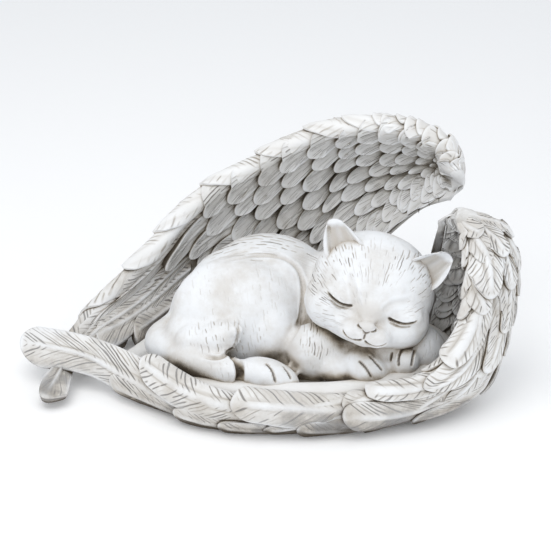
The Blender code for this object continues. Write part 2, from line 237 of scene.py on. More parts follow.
def dressed(name, mesh, paint):
    """An object of the mesh with its paint values, smooth shading and a plain word on its size."""
    for label, values in paint.items():
        kept = mesh.attributes.new(label, "FLOAT", "POINT")
        kept.data.foreach_set("value", np.asarray(values, np.float32))
    mesh.shade_smooth()
    made = bpy.data.objects.new(name, mesh)
    bpy.context.scene.collection.objects.link(made)
    mesh.calc_loop_triangles()
    print(name, "has", len(mesh.loop_triangles), "triangles")
    return made


# %% [markdown]
# ## The two wings as curved sheets
#
# Under the feathers each wing is a cupped sheet with a rounded rim. It is drawn by stations from the
# shoulder to the tip; each gives the sheet's lower edge, the fullest point of its belly and its rim. A
# feather is then placed as a person would say it: so far along the wing, so far round the rim, so high.
# The sheet ends in a dome at the shoulder, its feathers hang a little below its lower edge, and by the
# shoulder both thin out there, so that no blunt edge of the sheet shows.

# %% Stations of the wings
FAR_STATIONS = [
    ((71.5, 25.5, 64), (75, 29, 72), (73, 22, 79)),
    ((62, 31, 57.5), (70, 40, 73), (69, 28, 86.5)),
    ((50, 36, 44), (55, 50, 67), (53, 33, 91.5)),
    ((31, 42, 20), (34, 56, 58), (34, 38, 89.5)),
    ((13, 43, 2), (16, 57, 45), (17, 42, 83.5)),
    ((-8, 43, 1), (-8, 55, 36), (-6, 45, 69.5)),
    ((-30, 36, 1), (-31, 49, 27), (-29, 42, 55)),
    ((-50, 22, 2), (-53, 33, 17), (-50, 32, 34)),
    ((-66, 0, 2), (-73, 12, 9), (-72, 19, 14)),
    ((-80, -29, 2), (-85, -25, 3.5), (-88, -21, 4.5)),
]
NEAR_STATIONS = [
    ((67, -2, 66), (78, -8, 71.5), (76.5, -17, 70.5)),
    ((66, 2, 54), (87, -7, 64), (78, -22, 62)),
    ((65, 8, 38), (91, -8, 50), (78, -26, 53)),
    ((62, 6, 14), (89, -13, 29), (75.5, -33, 38)),
    ((56, -16, 2), (78, -31, 11), (64, -40, 21)),
    ((35, -37, 0), (42, -46, 7), (38, -45.5, 14)),
    ((8, -42, 0), (8, -49, 7), (8, -48, 13.5)),
    ((-22, -38, 0), (-23, -44.5, 8), (-22, -44, 14.5)),
    ((-47, -27, 3.5), (-49, -27.5, 10), (-49, -22, 15)),
    ((-69, -16, 6.5), (-70, -12.5, 11.5), (-70, -8, 16)),
    ((-96.5, -9, 7), (-97.5, -3, 11.5), (-97, 4, 14)),
]
SHEET_EDGE = 2.3
SHOULDER_DOME = 4

# %% Lower edge of the wings
# Millimetres along the wing or past its edge, apart from the two heights, which are shares of its depth.
HANG_SHOWN, HANG_HIDDEN, HANG_GROWS_OVER = 5, 2, 25
LOWEST_HEIGHT = -0.08
THINNED_BY = 0.7
THINNED_HEIGHT = 0.3
THINNED_FROM, THINNED_TO = 45, 85


# %% Places on a wing
class Wing:
    """The sheet under the feathers, and places on it: `along` from the shoulder, `over` round the rim."""

    def __init__(self, stations, outward, hang_from, samples=240, levels=12, measured=7):
        """`outward` is 1 or -1, the side of the outer face. Lengths are taken on the `measured` level of
        the sheet, a little above its middle."""
        self.hang_from = hang_from
        self.lower, self.belly, self.rim = (np.array(line, float) for line in zip(*stations))
        self.outward = outward
        self.shares = np.linspace(0, 1, samples)
        rows = [self.at(self.shares, np.full(samples, height)) for height in np.linspace(0, 1, levels)]
        self.depth = np.linalg.norm(np.diff(rows, axis=0), axis=2).sum(axis=0)
        steps = np.linalg.norm(np.diff(rows[measured], axis=0), axis=1)
        self.run = np.concatenate([[0], np.cumsum(steps)])
        self.length = self.run[-1]
        start, step_on = self.at(np.array([0.0, 0.02]), np.full(2, 0.5))
        self.outset = (start - step_on) / np.linalg.norm(start - step_on)

    def at(self, share, height):
        """Points of the sheet: share 0 to 1 from shoulder to tip, height 0 to 1 from lower edge to rim."""
        lower, belly, rim = (spline(line, share) for line in (self.lower, self.belly, self.rim))
        bow = 2 * belly - (lower + rim) / 2
        height = height[:, None]
        return (1 - height) ** 2 * lower + 2 * height * (1 - height) * bow + height**2 * rim

    def depth_at(self, along):
        """From the rim to the lower edge, along the sheet."""
        return np.interp(along, self.run, self.depth)

    def hang(self, along, side):
        """How far the feathers of one face hang below the sheet's lower edge. The face that shows has the
        longer ones, from `hang_from` along the wing."""
        if side != -self.outward:
            return HANG_HIDDEN
        return HANG_SHOWN * smooth(along, self.hang_from, self.hang_from + HANG_GROWS_OVER)

    def stretch(self, along, over):
        """How many millimetres of the sheet one step of `along` covers at that place."""
        ends = self.place(np.array([along - 1.0, along + 1.0]), np.full(2, float(over)), np.zeros(2))
        return float(np.clip(np.linalg.norm(ends[1] - ends[0]) / 2, 0.5, 1.6))

    def place(self, along, over, lift):
        """Points that far along, over the rim (above zero down the outer face) and out from the sheet.
        By the shoulder the sheet and its feathers thin out towards the lower edge."""
        shape = along.shape
        along, over, lift = (np.broadcast_to(value, shape).ravel() for value in (along, over, lift))
        turn = np.clip(over / SHEET_EDGE, -np.pi / 2, np.pi / 2)
        down = np.maximum(np.abs(over) - np.pi / 2 * SHEET_EDGE, 0)
        share = np.interp(along, self.run, self.shares) + np.maximum(along - self.length, 0) / self.length
        height = np.maximum(1 - down / self.depth_at(along), LOWEST_HEIGHT)
        step = 1e-3
        point = self.at(share, height)
        ahead = unit(self.at(share + step, height) - self.at(share - step, height))
        up = self.at(share, height + step) - self.at(share, height - step)
        normal = unit(np.cross(ahead, up)) * self.outward
        up = unit(np.cross(normal, ahead)) * self.outward
        facing = np.cos(turn)[:, None] * up + np.sin(turn)[:, None] * normal
        round_end = (np.clip(-along / SHOULDER_DOME, 0, 1) * np.pi / 2)[:, None]
        middle = self.at(np.zeros(1), np.full(1, 0.5))
        outset = self.outset * SHOULDER_DOME
        point = middle + (point - middle) * np.cos(round_end) + outset * np.sin(round_end)
        facing = np.cos(round_end) * facing + np.sin(round_end) * self.outset
        low_down = 1 - smooth(height, 0, THINNED_HEIGHT)
        by_shoulder = 1 - smooth(along, THINNED_FROM, THINNED_TO)
        thinned = (SHEET_EDGE + lift) * (1 - THINNED_BY * low_down * by_shoulder)
        return (point + thinned[:, None] * facing).reshape(*shape, 3)


far = Wing(FAR_STATIONS, outward=1, hang_from=-30)
near = Wing(NEAR_STATIONS, outward=-1, hang_from=60)
print("the tall wing is", round(far.length), "mm long and the low one", round(near.length), "mm")


# %% [markdown]
# ## The sheet itself
#
# Between the feathers a little of the sheet shows. It is one ribbon that starts at the foot of the inner
# face, goes over the rim and comes down the outer face. It stops short of the tip and narrows towards its
# end, because the tip is all feathers.

# %% Ribbon under the feathers
SHEET_END, SHEET_NARROWS_OVER, SHEET_NARROWED_BY = 0.86, 0.2, 0.75
SHEET_OVERLAP = 1.02
SHEET_SUNK = 0.3
CAP_REACH, CAP_RISE = 6, 0.9


def wing_core(wing, casting):
    """The sheet as one ribbon from its inner foot, over the rim, to its outer foot."""
    rows, columns = 150, 60
    along = np.linspace(-SHOULDER_DOME, SHEET_END * wing.length, rows)[:, None] * np.ones(columns)
    near_end = smooth(along / wing.length, SHEET_END - SHEET_NARROWS_OVER, SHEET_END)
    narrowed = 1 - SHEET_NARROWED_BY * near_end
    round_rim = np.pi / 2 * SHEET_EDGE * (0.4 + 0.6 * narrowed)
    reach = wing.depth_at(along) * SHEET_OVERLAP * narrowed + round_rim
    over = np.linspace(-1, 1, columns) * reach
    cap = 1 - smooth(along, 0, CAP_REACH)
    points = wing.place(along, over, CAP_RISE * cap - SHEET_SUNK)
    numbers = casting.add(points, 0.5 * (1 - cap), 0.3 * cap)
    casting.quads(numbers, flip=wing.outward < 0)
    closing = np.stack([numbers[:, -1], numbers[:, 0]], axis=1)
    casting.quads(closing, flip=wing.outward < 0)
    tip_end = np.stack([numbers[-1, : columns // 2], numbers[-1, : columns // 2 - 1 : -1]], axis=0)
    casting.quads(tip_end, flip=wing.outward < 0)


# %% [markdown]
# ## One feather
#
# A feather is a grid of points laid over the sheet. Its rows bend into an arc towards the tip, so the tip
# is round without any pinched corner. On that grid the carver's marks are heights: a shaft with a groove
# on each side, a middle that is hollowed or domed, and a thin lip that turns down all round, so each
# feather throws a dark line on the one below. The slanting barbs are too fine for the grid and are left to
# the stone: the feather only says where they run and how strong they are.

# %% Kinds of feather
def kind(soil=0.0, rest=1.0, square=1.0, **marks):
    """Marks of one kind of feather, in millimetres, degrees and shares of one.

    `step` is the gap between its points and `barb` the gap between its barbs, which slant by `angle`, are
    cut with strength `cut` and begin nearer the shaft the larger `inward` is. `fill` domes or hollows it,
    `shaft` is the height of the shaft, `lip` the depth of the turned edge and `soil` the wash in its
    middle. `point` and `square` shape the tip, and `rest` is how late it lifts off the sheet."""
    return SimpleNamespace(soil=soil, rest=rest, square=square, **marks)


SCALLOP = kind(step=0.62, fill=-0.3, shaft=0.05, barb=1.1, angle=12, cut=0.9, lip=1.1, point=0.0,
               inward=0.35, soil=0.25, rest=1.2)
COVERT = kind(step=0.74, fill=0.1, shaft=0.3, barb=1.2, angle=26, cut=0.9, lip=1.2, point=0.2,
              inward=0.3, soil=0.25, rest=1.2)
PLAIN = kind(step=1.15, fill=0.4, shaft=0.3, barb=2.2, angle=28, cut=0.7, lip=1.3, point=0.25,
             inward=0.2, soil=0.1, rest=1.2)
RIM = kind(step=0.7, fill=0.25, shaft=0.2, barb=1.4, angle=24, cut=0.8, lip=1.6, point=0.6, inward=0.1)
LONG = kind(step=0.68, fill=0.5, shaft=0.5, barb=1.35, angle=31, cut=1.0, lip=1.4, point=0.45, inward=0.1)
QUILL = kind(step=0.7, fill=0.5, shaft=0.6, barb=1.45, angle=31, cut=1.1, lip=1.3, point=0.0, inward=0.05,
             square=1.1)
HIDDEN_SHARE = 0.3


# %% The flat plan of a feather
def feather_plan(length, width, marks):
    """A flat feather with its tip at x = 0: x along it, y across, a from root to tip, s edge to edge."""
    hidden = np.linspace(0, HIDDEN_SHARE, 5)[:-1]
    shown = np.linspace(HIDDEN_SHARE, 1, max(8, round(0.7 * length / marks.step)))
    a = np.concatenate([hidden, shown])[:, None]
    columns = max(9, round(1.25 * width / marks.step)) // 2 * 2 + 1
    phi = np.linspace(-np.pi / 2, np.pi / 2, columns)[None, :]
    root = 0.6 + 0.4 * np.sin(np.pi / 2 * np.minimum(a / 0.6, 1))
    taper = 1 - marks.point * 0.75 * smooth(a, 0.45, 1.1)
    half = width / 2 * root * taper
    tip_arc = width / 2 * (0.95 + 0.5 * marks.point)
    s = 0.6 * np.sin(phi) + 0.4 * phi / (np.pi / 2)
    x = -length * (1 - a) - tip_arc * a**3 * (1 - np.cos(phi)) ** marks.square
    return x, half * s, a + 0 * s, s + 0 * a


# %% The carver's marks on it
def feather_marks(x, y, a, s, width, marks, rng):
    """Height of the surface, its wash and wear, and where the strokes of the barbs run."""
    flat = np.stack([x, y, np.zeros_like(x)], axis=-1).reshape(-1, 3)
    wobble = cloud(flat + rng.uniform(0, 50, 3), 4, 11).reshape(x.shape)
    side = np.abs(y)
    fade = smooth(-x, 0.12 * width, 0.5 * width)
    shaft_width = 0.6 + 0.05 * width * (1 - a)
    ridge = np.exp(-((y / shaft_width) ** 2)) * fade
    beside = np.exp(-(((side - 1.9 * shaft_width) / (0.55 * shaft_width)) ** 2)) * fade
    edge = np.maximum(np.abs(s), smooth(-x, 0.3 * width, 0)) ** 6
    hollow = (1 - s**2) * np.minimum(1, 0.25 + smooth(-x, 0, 0.5 * width))
    height = marks.fill * hollow + marks.shaft * (ridge - 0.6 * beside)
    height += 0.12 * wobble - 0.25 * np.abs(s) ** 14
    wash = marks.soil * hollow * (0.8 + 0.3 * wobble) + 0.5 * min(1, 2 * marks.shaft) * beside
    worn = 0.75 * edge + 0.6 * ridge * min(1, 2 * marks.shaft)
    slope = math.radians(marks.angle)
    across = (x * math.sin(slope) - side**1.1 * math.cos(slope)) / marks.barb + rng.uniform(100, 900)
    along = x * math.cos(slope) + side * math.sin(slope) + 3 * np.sign(y)
    away_from_edge = smooth(1 - np.abs(s), 0.0, 0.25)
    lines = smooth(side, 0.25 * (1 - marks.inward), 1.1) * smooth(-x, 0.5, 3) * (0.3 + 0.7 * away_from_edge)
    return height, wash, worn, across, along, marks.cut * lines


# %% The feather on its wing
LIGHT_OUT, LIP_OUT, FOOT_IN = 0.2, 0.15, 0.9
FOOT_BELOW_LIP, FOOT_AT_MOST = 0.3, -0.8
UNDERSIDE_WIDTH = 0.96
SHOULDER_SUNK = 0.6


def round_the_edge(grid):
    """The values of a grid down its left edge, round its tip and back up its right edge."""
    return np.concatenate([grid[:, 0], grid[-1, 1:-1], grid[::-1, -1]])


def feather(casting, wing, tip, over, length, width, marks, seed, slant=0.0, lift=2.4, roof=0.5, closed=0.0):
    """One feather whose tip is `tip` along the wing and whose middle is `over` round the rim.

    `slant` turns it about its tip, in degrees, and `lift` is how far its tip stands off the sheet. `roof`
    raises the edge away from the rim above the next row. `closed` is the thickness of a feather that
    stands free and so needs an underside."""
    rng = np.random.default_rng(seed)
    x, y, a, s = feather_plan(length, width, marks)
    height, wash, worn, *strokes = feather_marks(x, y, a, s, width, marks, rng)
    side = np.sign(over) if over else 1
    turn = math.radians(slant)
    stretch = wing.stretch(tip - 0.3 * length, over)
    along = tip + (x * math.cos(turn) - y * math.sin(turn)) / stretch
    sideways = over + x * math.sin(turn) + y * math.cos(turn)
    along = np.maximum(along, -0.85 * SHOULDER_DOME)
    depth = wing.depth_at(along)
    sideways = sideways * np.minimum(1, depth / wing.depth_at(tip))
    lowest = depth + wing.hang(along, side)
    sideways = np.clip(sideways, -lowest, lowest)
    rise = lift * a**marks.rest + roof * side * s * (1 - 0.6 * a**4) + height
    settled = smooth(along, -SHOULDER_DOME, 1)
    rise = rise * settled - SHOULDER_SUNK * (1 - settled)
    numbers = casting.add(wing.place(along, sideways, rise), wash, worn, *strokes)
    flip = wing.outward < 0
    casting.quads(numbers, flip)

    rim, edge_x, edge_y, edge_rise = (round_the_edge(grid) for grid in (numbers, along, sideways, rise))
    out = np.stack([-np.gradient(edge_y), np.gradient(edge_x)], axis=1)
    out = unit(out) * np.sign(edge_x[len(rim) // 2] - edge_x[0]) * -1

    def beside(step, height):
        """Places a step outside the edge of the feather, at that height over the sheet."""
        return wing.place(edge_x + step * out[:, 0], edge_y + step * out[:, 1], height)

    light = casting.add(beside(LIGHT_OUT, edge_rise - 0.5 * marks.lip), 0.15, 0.5)
    lip = casting.add(beside(LIP_OUT, edge_rise - marks.lip), 0.95, 0)
    if closed:
        under = wing.place(along, over + (sideways - over) * UNDERSIDE_WIDTH, rise - height - closed)
        underside = casting.add(under, 0.3 * wash, 0.3)
        casting.quads(underside, not flip)
        below = round_the_edge(underside)
    else:
        foot = np.minimum(edge_rise - marks.lip - FOOT_BELOW_LIP, FOOT_AT_MOST)
        below = casting.add(beside(-FOOT_IN, foot), 1, 0)
    for upper, lower in ((rim, light), (light, lip), (lip, below)):
        casting.quads(np.stack([upper, lower], axis=1), not flip)


# %% Rows and groups of feathers
COVER_WIDTH = 1.22
INNER, OUTER = -1, 1


def feather_row(casting, wing, over, first, last, pitch, width, marks, seed, slant, reach, lift, roof=0.5):
    """Overlapping feathers from `first` to `last` along the wing, each `reach` pitches long. Pitch, width
    and over run from the value at the shoulder to the value at the far end, with small differences."""
    rng = np.random.default_rng(seed)
    tip = first
    number = 0
    while tip <= last:
        grown = (tip - first) / max(last - first, 1)
        step, wide, middle = (start + grown * (end - start) for start, end in (pitch, width, over))
        if abs(middle) < wing.depth_at(tip) + 0.45 * wide:
            vary = rng.uniform(-1, 1, 5)
            feather(casting, wing, tip + 0.16 * step * vary[0], middle + 0.1 * wide * vary[1],
                    reach * step * (1 + 0.1 * vary[4]), wide * (1 + 0.12 * vary[2]), marks,
                    seed + 17 * number, slant + 6 * vary[3], lift + 0.3 * vary[4], roof)
        tip += step / wing.stretch(tip, middle)
        number += 1


def covert_field(casting, wing, side, rows, top, first, last, pitch, width, marks, seed, slant, reach, lift):
    """Staggered rows of feathers on one face, OUTER or INNER, the first row `top` below the rim."""
    for row in range(rows):
        begin = first + (pitch[0] / 2 if row % 2 else 0)
        over = [side * (top + (row + 0.5) * wide) for wide in width]
        covers = [COVER_WIDTH * wide for wide in width]
        feather_row(casting, wing, over, begin, last, pitch, covers, marks, seed + 1000 * row, side * slant,
                    reach, lift)


def hem(casting, wing, side, first, last, pitch, length, width, marks, seed, slant, lift):
    """One row of feathers that follows the lower edge of one face."""
    for number, tip in enumerate(np.arange(first, last, pitch)):
        over = side * (wing.depth_at(tip) - 0.3 * width)
        feather(casting, wing, tip, over, length, width, marks, seed + number, side * slant, lift)


def laid_one_by_one(casting, wing, feathers, marks, seed, lift, roof=0.5, closed=0.0):
    """Feathers given one by one as (tip along the wing, over the rim, length, width, slant)."""
    for number, (tip, over, length, width, slant) in enumerate(feathers):
        feather(casting, wing, tip, over, length, width, marks, seed + number, slant, lift, roof, closed)


# %% [markdown]
# ## The tall wing
#
# Inside, small round feathers lie like roof tiles by the shoulder and grow longer towards the tip, and one
# row hangs along the lower edge. The rim has small round feathers by the shoulder too. Further on it has
# its own long ones, which fold over it from outside and throw the darkest shade of all on the inner face.
# Six long flight feathers make the tip. The back is the same pattern, cut more plainly. Long feathers are
# given one by one, because the eye follows each of them; the small ones come in rows.

# %% Inner face of the tall wing
FAR_BROAD_FEATHERS = [(149, -14, 46, 14, 7), (134, -24, 40, 13, 12), (121, -37, 34, 12, 14)]

far_inside = Casting()
wing_core(far, far_inside)
covert_field(far_inside, far, INNER, rows=7, top=2, first=3, last=133, pitch=(6.5, 16.5), width=(8.2, 14),
             marks=SCALLOP, seed=100, slant=12, reach=1.8, lift=3.3)
hem(far_inside, far, INNER, first=4, last=75, pitch=7.5, length=14, width=9.5, marks=SCALLOP, seed=160,
    slant=12, lift=3.6)
laid_one_by_one(far_inside, far, FAR_BROAD_FEATHERS, COVERT, seed=180, lift=4.2)
far_inside_piece = far_inside.make("tall_wing_inner_feathers")

# %% Back of the tall wing
far_back = Casting()
covert_field(far_back, far, OUTER, rows=5, top=4, first=12, last=far.length - 24, pitch=(18, 32),
             width=(14, 15), marks=PLAIN, seed=200, slant=8, reach=1.8, lift=2.6)
hem(far_back, far, OUTER, first=14, last=far.length - 40, pitch=20, length=36, width=18, marks=PLAIN,
    seed=260, slant=8, lift=2.6)
far_back_piece = far_back.make("tall_wing_outer_feathers")

# %% Rim of the tall wing
FAR_RIM_ROWS = (-4, -0.5, 2.5, 6)
FAR_RIM_FEATHERS = [
    (58, 3, 30, 8, 8), (76, 3, 36, 8.5, 11), (98, 3, 42, 9, 12), (123, 3.5, 46, 9, 13),
    (148, 3.5, 48, 9, 13), (166, 2, 44, 8.5, 10),
]

far_rim = Casting()
for row, over in enumerate(FAR_RIM_ROWS):
    feather_row(far_rim, far, over=(over, over), first=3 + 3 * (row % 2), last=48, pitch=(6.5, 10),
                width=(5.5, 7), marks=SCALLOP, seed=330 + 40 * row, slant=-8, reach=1.9, lift=3.0, roof=0)
laid_one_by_one(far_rim, far, FAR_RIM_FEATHERS, RIM, seed=300, lift=3.0, roof=0)
far_rim_piece = far_rim.make("tall_wing_rim_feathers")

# %% Flight feathers of the tall wing
FAR_FLIGHT_FEATHERS = [
    (233, -9.5, 60, 13, 0), (205, -5.5, 84, 17, 4), (205, -15, 78, 14, 10), (187, -20, 62, 12, 15),
    (167, -32, 46, 12, 20), (209, 8, 90, 16, 0),
]

far_tip = Casting()
laid_one_by_one(far_tip, far, FAR_FLIGHT_FEATHERS, QUILL, seed=400, lift=1.6, roof=0.3, closed=3)
far_tip_piece = far_tip.make("tall_wing_flight_feathers")

# %% [markdown]
# ## The low wing
#
# The low wing rises to its shoulder at the kitten's head, sweeps down in front of the paws and runs out
# flat under the tip of the tall one. Here the outer face is the one that shows. It has rows of long
# feathers under three groups laid one by one: a lower and an upper line that follow the sweep, and the
# broad ones that stand round the shoulder. The face inside is a field of small coverts in deep shade.

# %% Inner face of the low wing
near_inside = Casting()
wing_core(near, near_inside)
covert_field(near_inside, near, INNER, rows=9, top=2, first=4, last=near.length - 102, pitch=(6.5, 16),
             width=(7, 7.5), marks=COVERT, seed=500, slant=6, reach=1.8, lift=3.0)
hem(near_inside, near, INNER, first=3, last=60, pitch=6.5, length=13, width=8, marks=COVERT, seed=560,
    slant=6, lift=3.0)
near_inside_piece = near_inside.make("low_wing_inner_feathers")

# %% Outer face of the low wing
NEAR_LOWER_FEATHERS = [
    (190, 13, 42, 10, -6), (172, 13.5, 40, 10, -8), (143, 12, 40, 11, -10), (117, 19, 38, 12, -16),
    (96, 28, 34, 11, -20), (81, 34, 32, 11, -18),
]
NEAR_UPPER_FEATHERS = [
    (208, 4.5, 62, 12.5, -2), (168, 4.5, 62, 14, -3), (126, 8, 56, 14, -12), (100, 17, 52, 16, -20),
    (113, 2.5, 40, 10, -4), (84, 5, 34, 12, -8), (66, 2, 28, 11, -4),
]
NEAR_SIDE_FEATHERS = [
    (72, 30, 44, 14, -8), (58, 28, 34, 13, -6), (46, 30, 32, 13, -4), (35, 27, 28, 13, -3),
    (25, 23, 24, 13, -2), (14, 22, 17, 12, 0), (66, 16, 36, 13, -6), (49, 18, 28, 13, -5),
    (31, 17, 22, 13, -2), (33, 7, 28, 15, -2), (17, 13, 18, 12, 0),
]

near_face = Casting()
covert_field(near_face, near, OUTER, rows=6, top=2, first=5, last=near.length - 85, pitch=(9, 32),
             width=(10, 8.5), marks=LONG, seed=600, slant=10, reach=1.9, lift=2.0)
laid_one_by_one(near_face, near, NEAR_LOWER_FEATHERS, LONG, seed=640, lift=3.0)
laid_one_by_one(near_face, near, NEAR_UPPER_FEATHERS, LONG, seed=660, lift=3.6)
laid_one_by_one(near_face, near, NEAR_SIDE_FEATHERS, LONG, seed=680, lift=3.8)
near_face_piece = near_face.make("low_wing_outer_feathers")

# %% Rim and flight feathers of the low wing
NEAR_FLIGHT_FEATHERS = [(266, 11, 102, 17.5, 0), (225, 15, 60, 9, -2)]

near_rim = Casting()
feather_row(near_rim, near, over=(-0.5, -2), first=8, last=112, pitch=(8, 20), width=(6, 8.5), marks=RIM,
            seed=700, slant=0, reach=1.8, lift=2.6, roof=0)
near_rim_piece = near_rim.make("low_wing_rim_feathers")

near_tip = Casting()
laid_one_by_one(near_tip, near, NEAR_FLIGHT_FEATHERS, QUILL, seed=800, lift=1.4, roof=0, closed=3)
near_tip_piece = near_tip.make("low_wing_flight_feathers")

# %% [markdown]
# ## Clay for the kitten
#
# The kitten is built as a sculptor builds it, from balls of clay. A voxel remesh fuses the balls into one
# skin, smoothing melts the steps, and one subdivision gives points close enough for the carved marks. One
# mesh pushed into shape could be smoother still, but here each muscle keeps a place and a size of its own.

# %% Balls of clay
smooth_ball = bmesh.new()
bmesh.ops.create_uvsphere(smooth_ball, u_segments=40, v_segments=24, radius=1)
BALL_POINTS = np.array([vertex.co for vertex in smooth_ball.verts])
BALL_FACES = [[vertex.index for vertex in face.verts] for face in smooth_ball.faces]
smooth_ball.free()


def ball(clay, centre, half_axes, turn=(0, 0, 0), place_in=Matrix.Identity(4)):
    """Adds an ellipsoid: its centre, half axes and turn in degrees, in the given frame."""
    about_x, about_y, about_z = (math.radians(angle) for angle in turn)
    place = Matrix.Translation(centre) @ Matrix.Rotation(about_z, 4, "Z")
    place = place @ Matrix.Rotation(about_y, 4, "Y") @ Matrix.Rotation(about_x, 4, "X")
    matrix = np.array(place_in @ place @ Matrix.Diagonal((*half_axes, 1)))
    clay.append(BALL_POINTS @ matrix[:3, :3].T + matrix[:3, 3])


def roll(clay, route):
    """Adds a roll of clay, as a chain of balls along a smooth line of (x, y, z, radius)."""
    for x, y, z, radius in spline(route, np.linspace(0, 1, 14 * len(route))):
        ball(clay, (x, y, z), (radius,) * 3)


def fuse(name, clay, voxel, softness):
    """One fine skin round all the clay, as a mesh in the drawing's millimetres."""
    firsts = range(0, len(clay) * len(BALL_POINTS), len(BALL_POINTS))
    faces = [[first + corner for corner in face] for first in firsts for face in BALL_FACES]
    mesh = bpy.data.meshes.new(name)
    mesh.from_pydata(np.concatenate(clay), [], faces)
    lump = bpy.data.objects.new(name, mesh)
    bpy.context.scene.collection.objects.link(lump)
    skin = lump.modifiers.new("Skin", "REMESH")
    skin.mode = "VOXEL"
    skin.voxel_size = voxel
    soften = lump.modifiers.new("Soften", "SMOOTH")
    soften.iterations = softness
    lump.modifiers.new("Finer", "SUBSURF").levels = 1
    bpy.context.view_layer.update()
    fused = bpy.data.meshes.new_from_object(lump.evaluated_get(bpy.context.evaluated_depsgraph_get()))
    bpy.data.objects.remove(lump)
    print(name, "is fused from", len(clay), "balls")
    return fused


# %% [markdown]
# ## Cutting into the clay
#
# Every mark is a line with a width and a depth. Points of the skin near the line go in, points just beside
# it are pushed up a little, as a modelling tool does, and the bottom of the cut keeps the wash. Fur is too
# fine for that, so `comb` only tells the stone where its strokes run and how strong they are.

# %% A skin that can be cut
class Skin:
    """The points of a fused mesh, their normals and their paint values, ready to be cut and painted."""

    def __init__(self, mesh):
        self.mesh = mesh
        self.points = np.empty(3 * len(mesh.vertices))
        mesh.vertices.foreach_get("co", self.points)
        self.points = self.points.reshape(-1, 3)
        self.wash, self.worn, self.across, self.along, self.lines = np.zeros((5, len(self.points)))
        self.refresh()

    def refresh(self):
        """Takes the normals anew and sorts the points for quick finding."""
        self.mesh.vertices.foreach_set("co", self.points.ravel())
        self.mesh.update()
        normals = np.empty(self.points.size)
        self.mesh.vertex_normals.foreach_get("vector", normals)
        self.normals = normals.reshape(-1, 3)
        self.tree = KDTree(len(self.points))
        for number, point in enumerate(self.points):
            self.tree.insert(point, number)
        self.tree.balance()

    def cut(self, route, width, depth, soil=1.0, ridge=0.3, taper=0.18):
        """Cuts one smooth line, given by a few points on or near the skin. `soil` is the wash left in it,
        `ridge` the height of its banks and `taper` the share of its length that fades out at each end."""
        route = np.asarray(route, float)
        length = np.linalg.norm(np.diff(route, axis=0), axis=1).sum()
        fine = spline(route, np.linspace(0, 1, max(3, round(length / (0.6 * width)))))
        near_points = set()
        for point in fine:
            near_points.update(number for _, number, _ in self.tree.find_range(point, 2.6 * width))
        if not near_points:
            return
        numbers = np.array(sorted(near_points))
        start, run = fine[:-1], np.diff(fine, axis=0)
        offset = self.points[numbers][:, None, :] - start
        share = np.clip((offset * run).sum(axis=2) / np.maximum((run**2).sum(axis=1), 1e-9), 0, 1)
        gaps = np.linalg.norm(offset - share[:, :, None] * run, axis=2)
        closest = gaps.argmin(axis=1)
        gap = gaps.min(axis=1)
        whole = (closest + share[np.arange(len(numbers)), closest]) / len(start)
        fade = np.minimum(smooth(whole, 0, taper), smooth(1 - whole, 0, taper))
        trough = np.exp(-((gap / width) ** 2)) * fade
        bank = np.exp(-(((gap - 1.7 * width) / (0.6 * width)) ** 2)) * fade
        move = ridge * depth * bank - depth * trough
        self.points[numbers] += move[:, None] * self.normals[numbers]
        self.wash[numbers] = np.maximum(self.wash[numbers], np.minimum(soil * trough, 1))
        self.worn[numbers] = np.maximum(self.worn[numbers], 0.5 * bank * min(1, depth / 0.4))

    def comb(self, where, across, along, spacing):
        """Strokes of fur as strong as `where`, which is 0 where there are none. `across` and `along` are
        places over and with the hair, in millimetres."""
        stronger = where > self.lines
        self.across[stronger] = (across / spacing)[stronger]
        self.along[stronger] = along[stronger]
        self.lines[stronger] = where[stronger]

    def make(self, name):
        self.mesh.vertices.foreach_set("co", in_scene(self.points).ravel())
        self.mesh.update()
        return dressed(name, self.mesh, {label: getattr(self, label) for label in PAINTS})


# %% [markdown]
# ## The kitten's body and legs
#
# The kitten is curled up with its back to the tall wing. Its haunch fills the middle, its chin lies on the
# fore paws and its tail comes round the haunch to the front. The trunk comes first, then the legs that lie
# over it, each ball with its centre, half axes and turn; the tail is one roll.

# %% Body, legs and tail in clay
BODY_BALLS = [
    ((0, 14, 26), (28, 26, 25), (0, 0, 0)),
    ((-8, 12, 26), (26, 24, 21.5), (0, 0, 0)),
    ((-18, 8, 20), (22, 22, 20), (0, 0, 0)),
    ((28, 8, 27), (25, 22, 20), (0, -5, -10)),
    ((36, 0, 34), (18, 16, 16), (0, 0, 0)),
    ((16, -10, 12), (22, 15, 12), (0, 0, 0)),
    ((42, -19, 25), (14, 10, 8), (0, 0, 0)),
]
HAUNCH_BALLS = [
    ((-11.5, -4, 28), (26.5, 15.5, 22.5), (-25, 0, 0)),
    ((1, -10, 22), (12, 12, 15), (0, 0, 0)),
    ((-30, -9, 20), (11, 11, 11), (0, 0, 0)),
]
HEEL_AND_HIND_PAW_BALLS = [
    ((-27, -18.5, 24), (9.5, 6.5, 6.5), (0, 0, 0)),
    ((-19.5, -21.5, 26.5), (10.5, 6.5, 6.5), (0, -25, 0)),
    ((-12.6, -24.8, 31.8), (3.2, 3.0, 3.0), (0, 0, 0)),
    ((0.5, -32, 15.5), (12.5, 8, 6.5), (0, 20, -5)),
]
FORE_LEG_BALLS = [
    ((19.5, -20, 19.5), (12.5, 10, 12), (0, 0, 0)),
    ((29, -25, 16), (12, 8.5, 7.5), (0, 5, -5)),
    ((37.8, -30, 18.6), (9.5, 8, 6.4), (0, 25, -20)),
    ((61, -18, 18.5), (9, 9.5, 12), (0, -25, 0)),
    ((58, -22, 12), (10, 8, 6), (0, 0, 0)),
    ((52.3, -27, 19.2), (6.6, 7, 6.8), (0, 0, 10)),
]
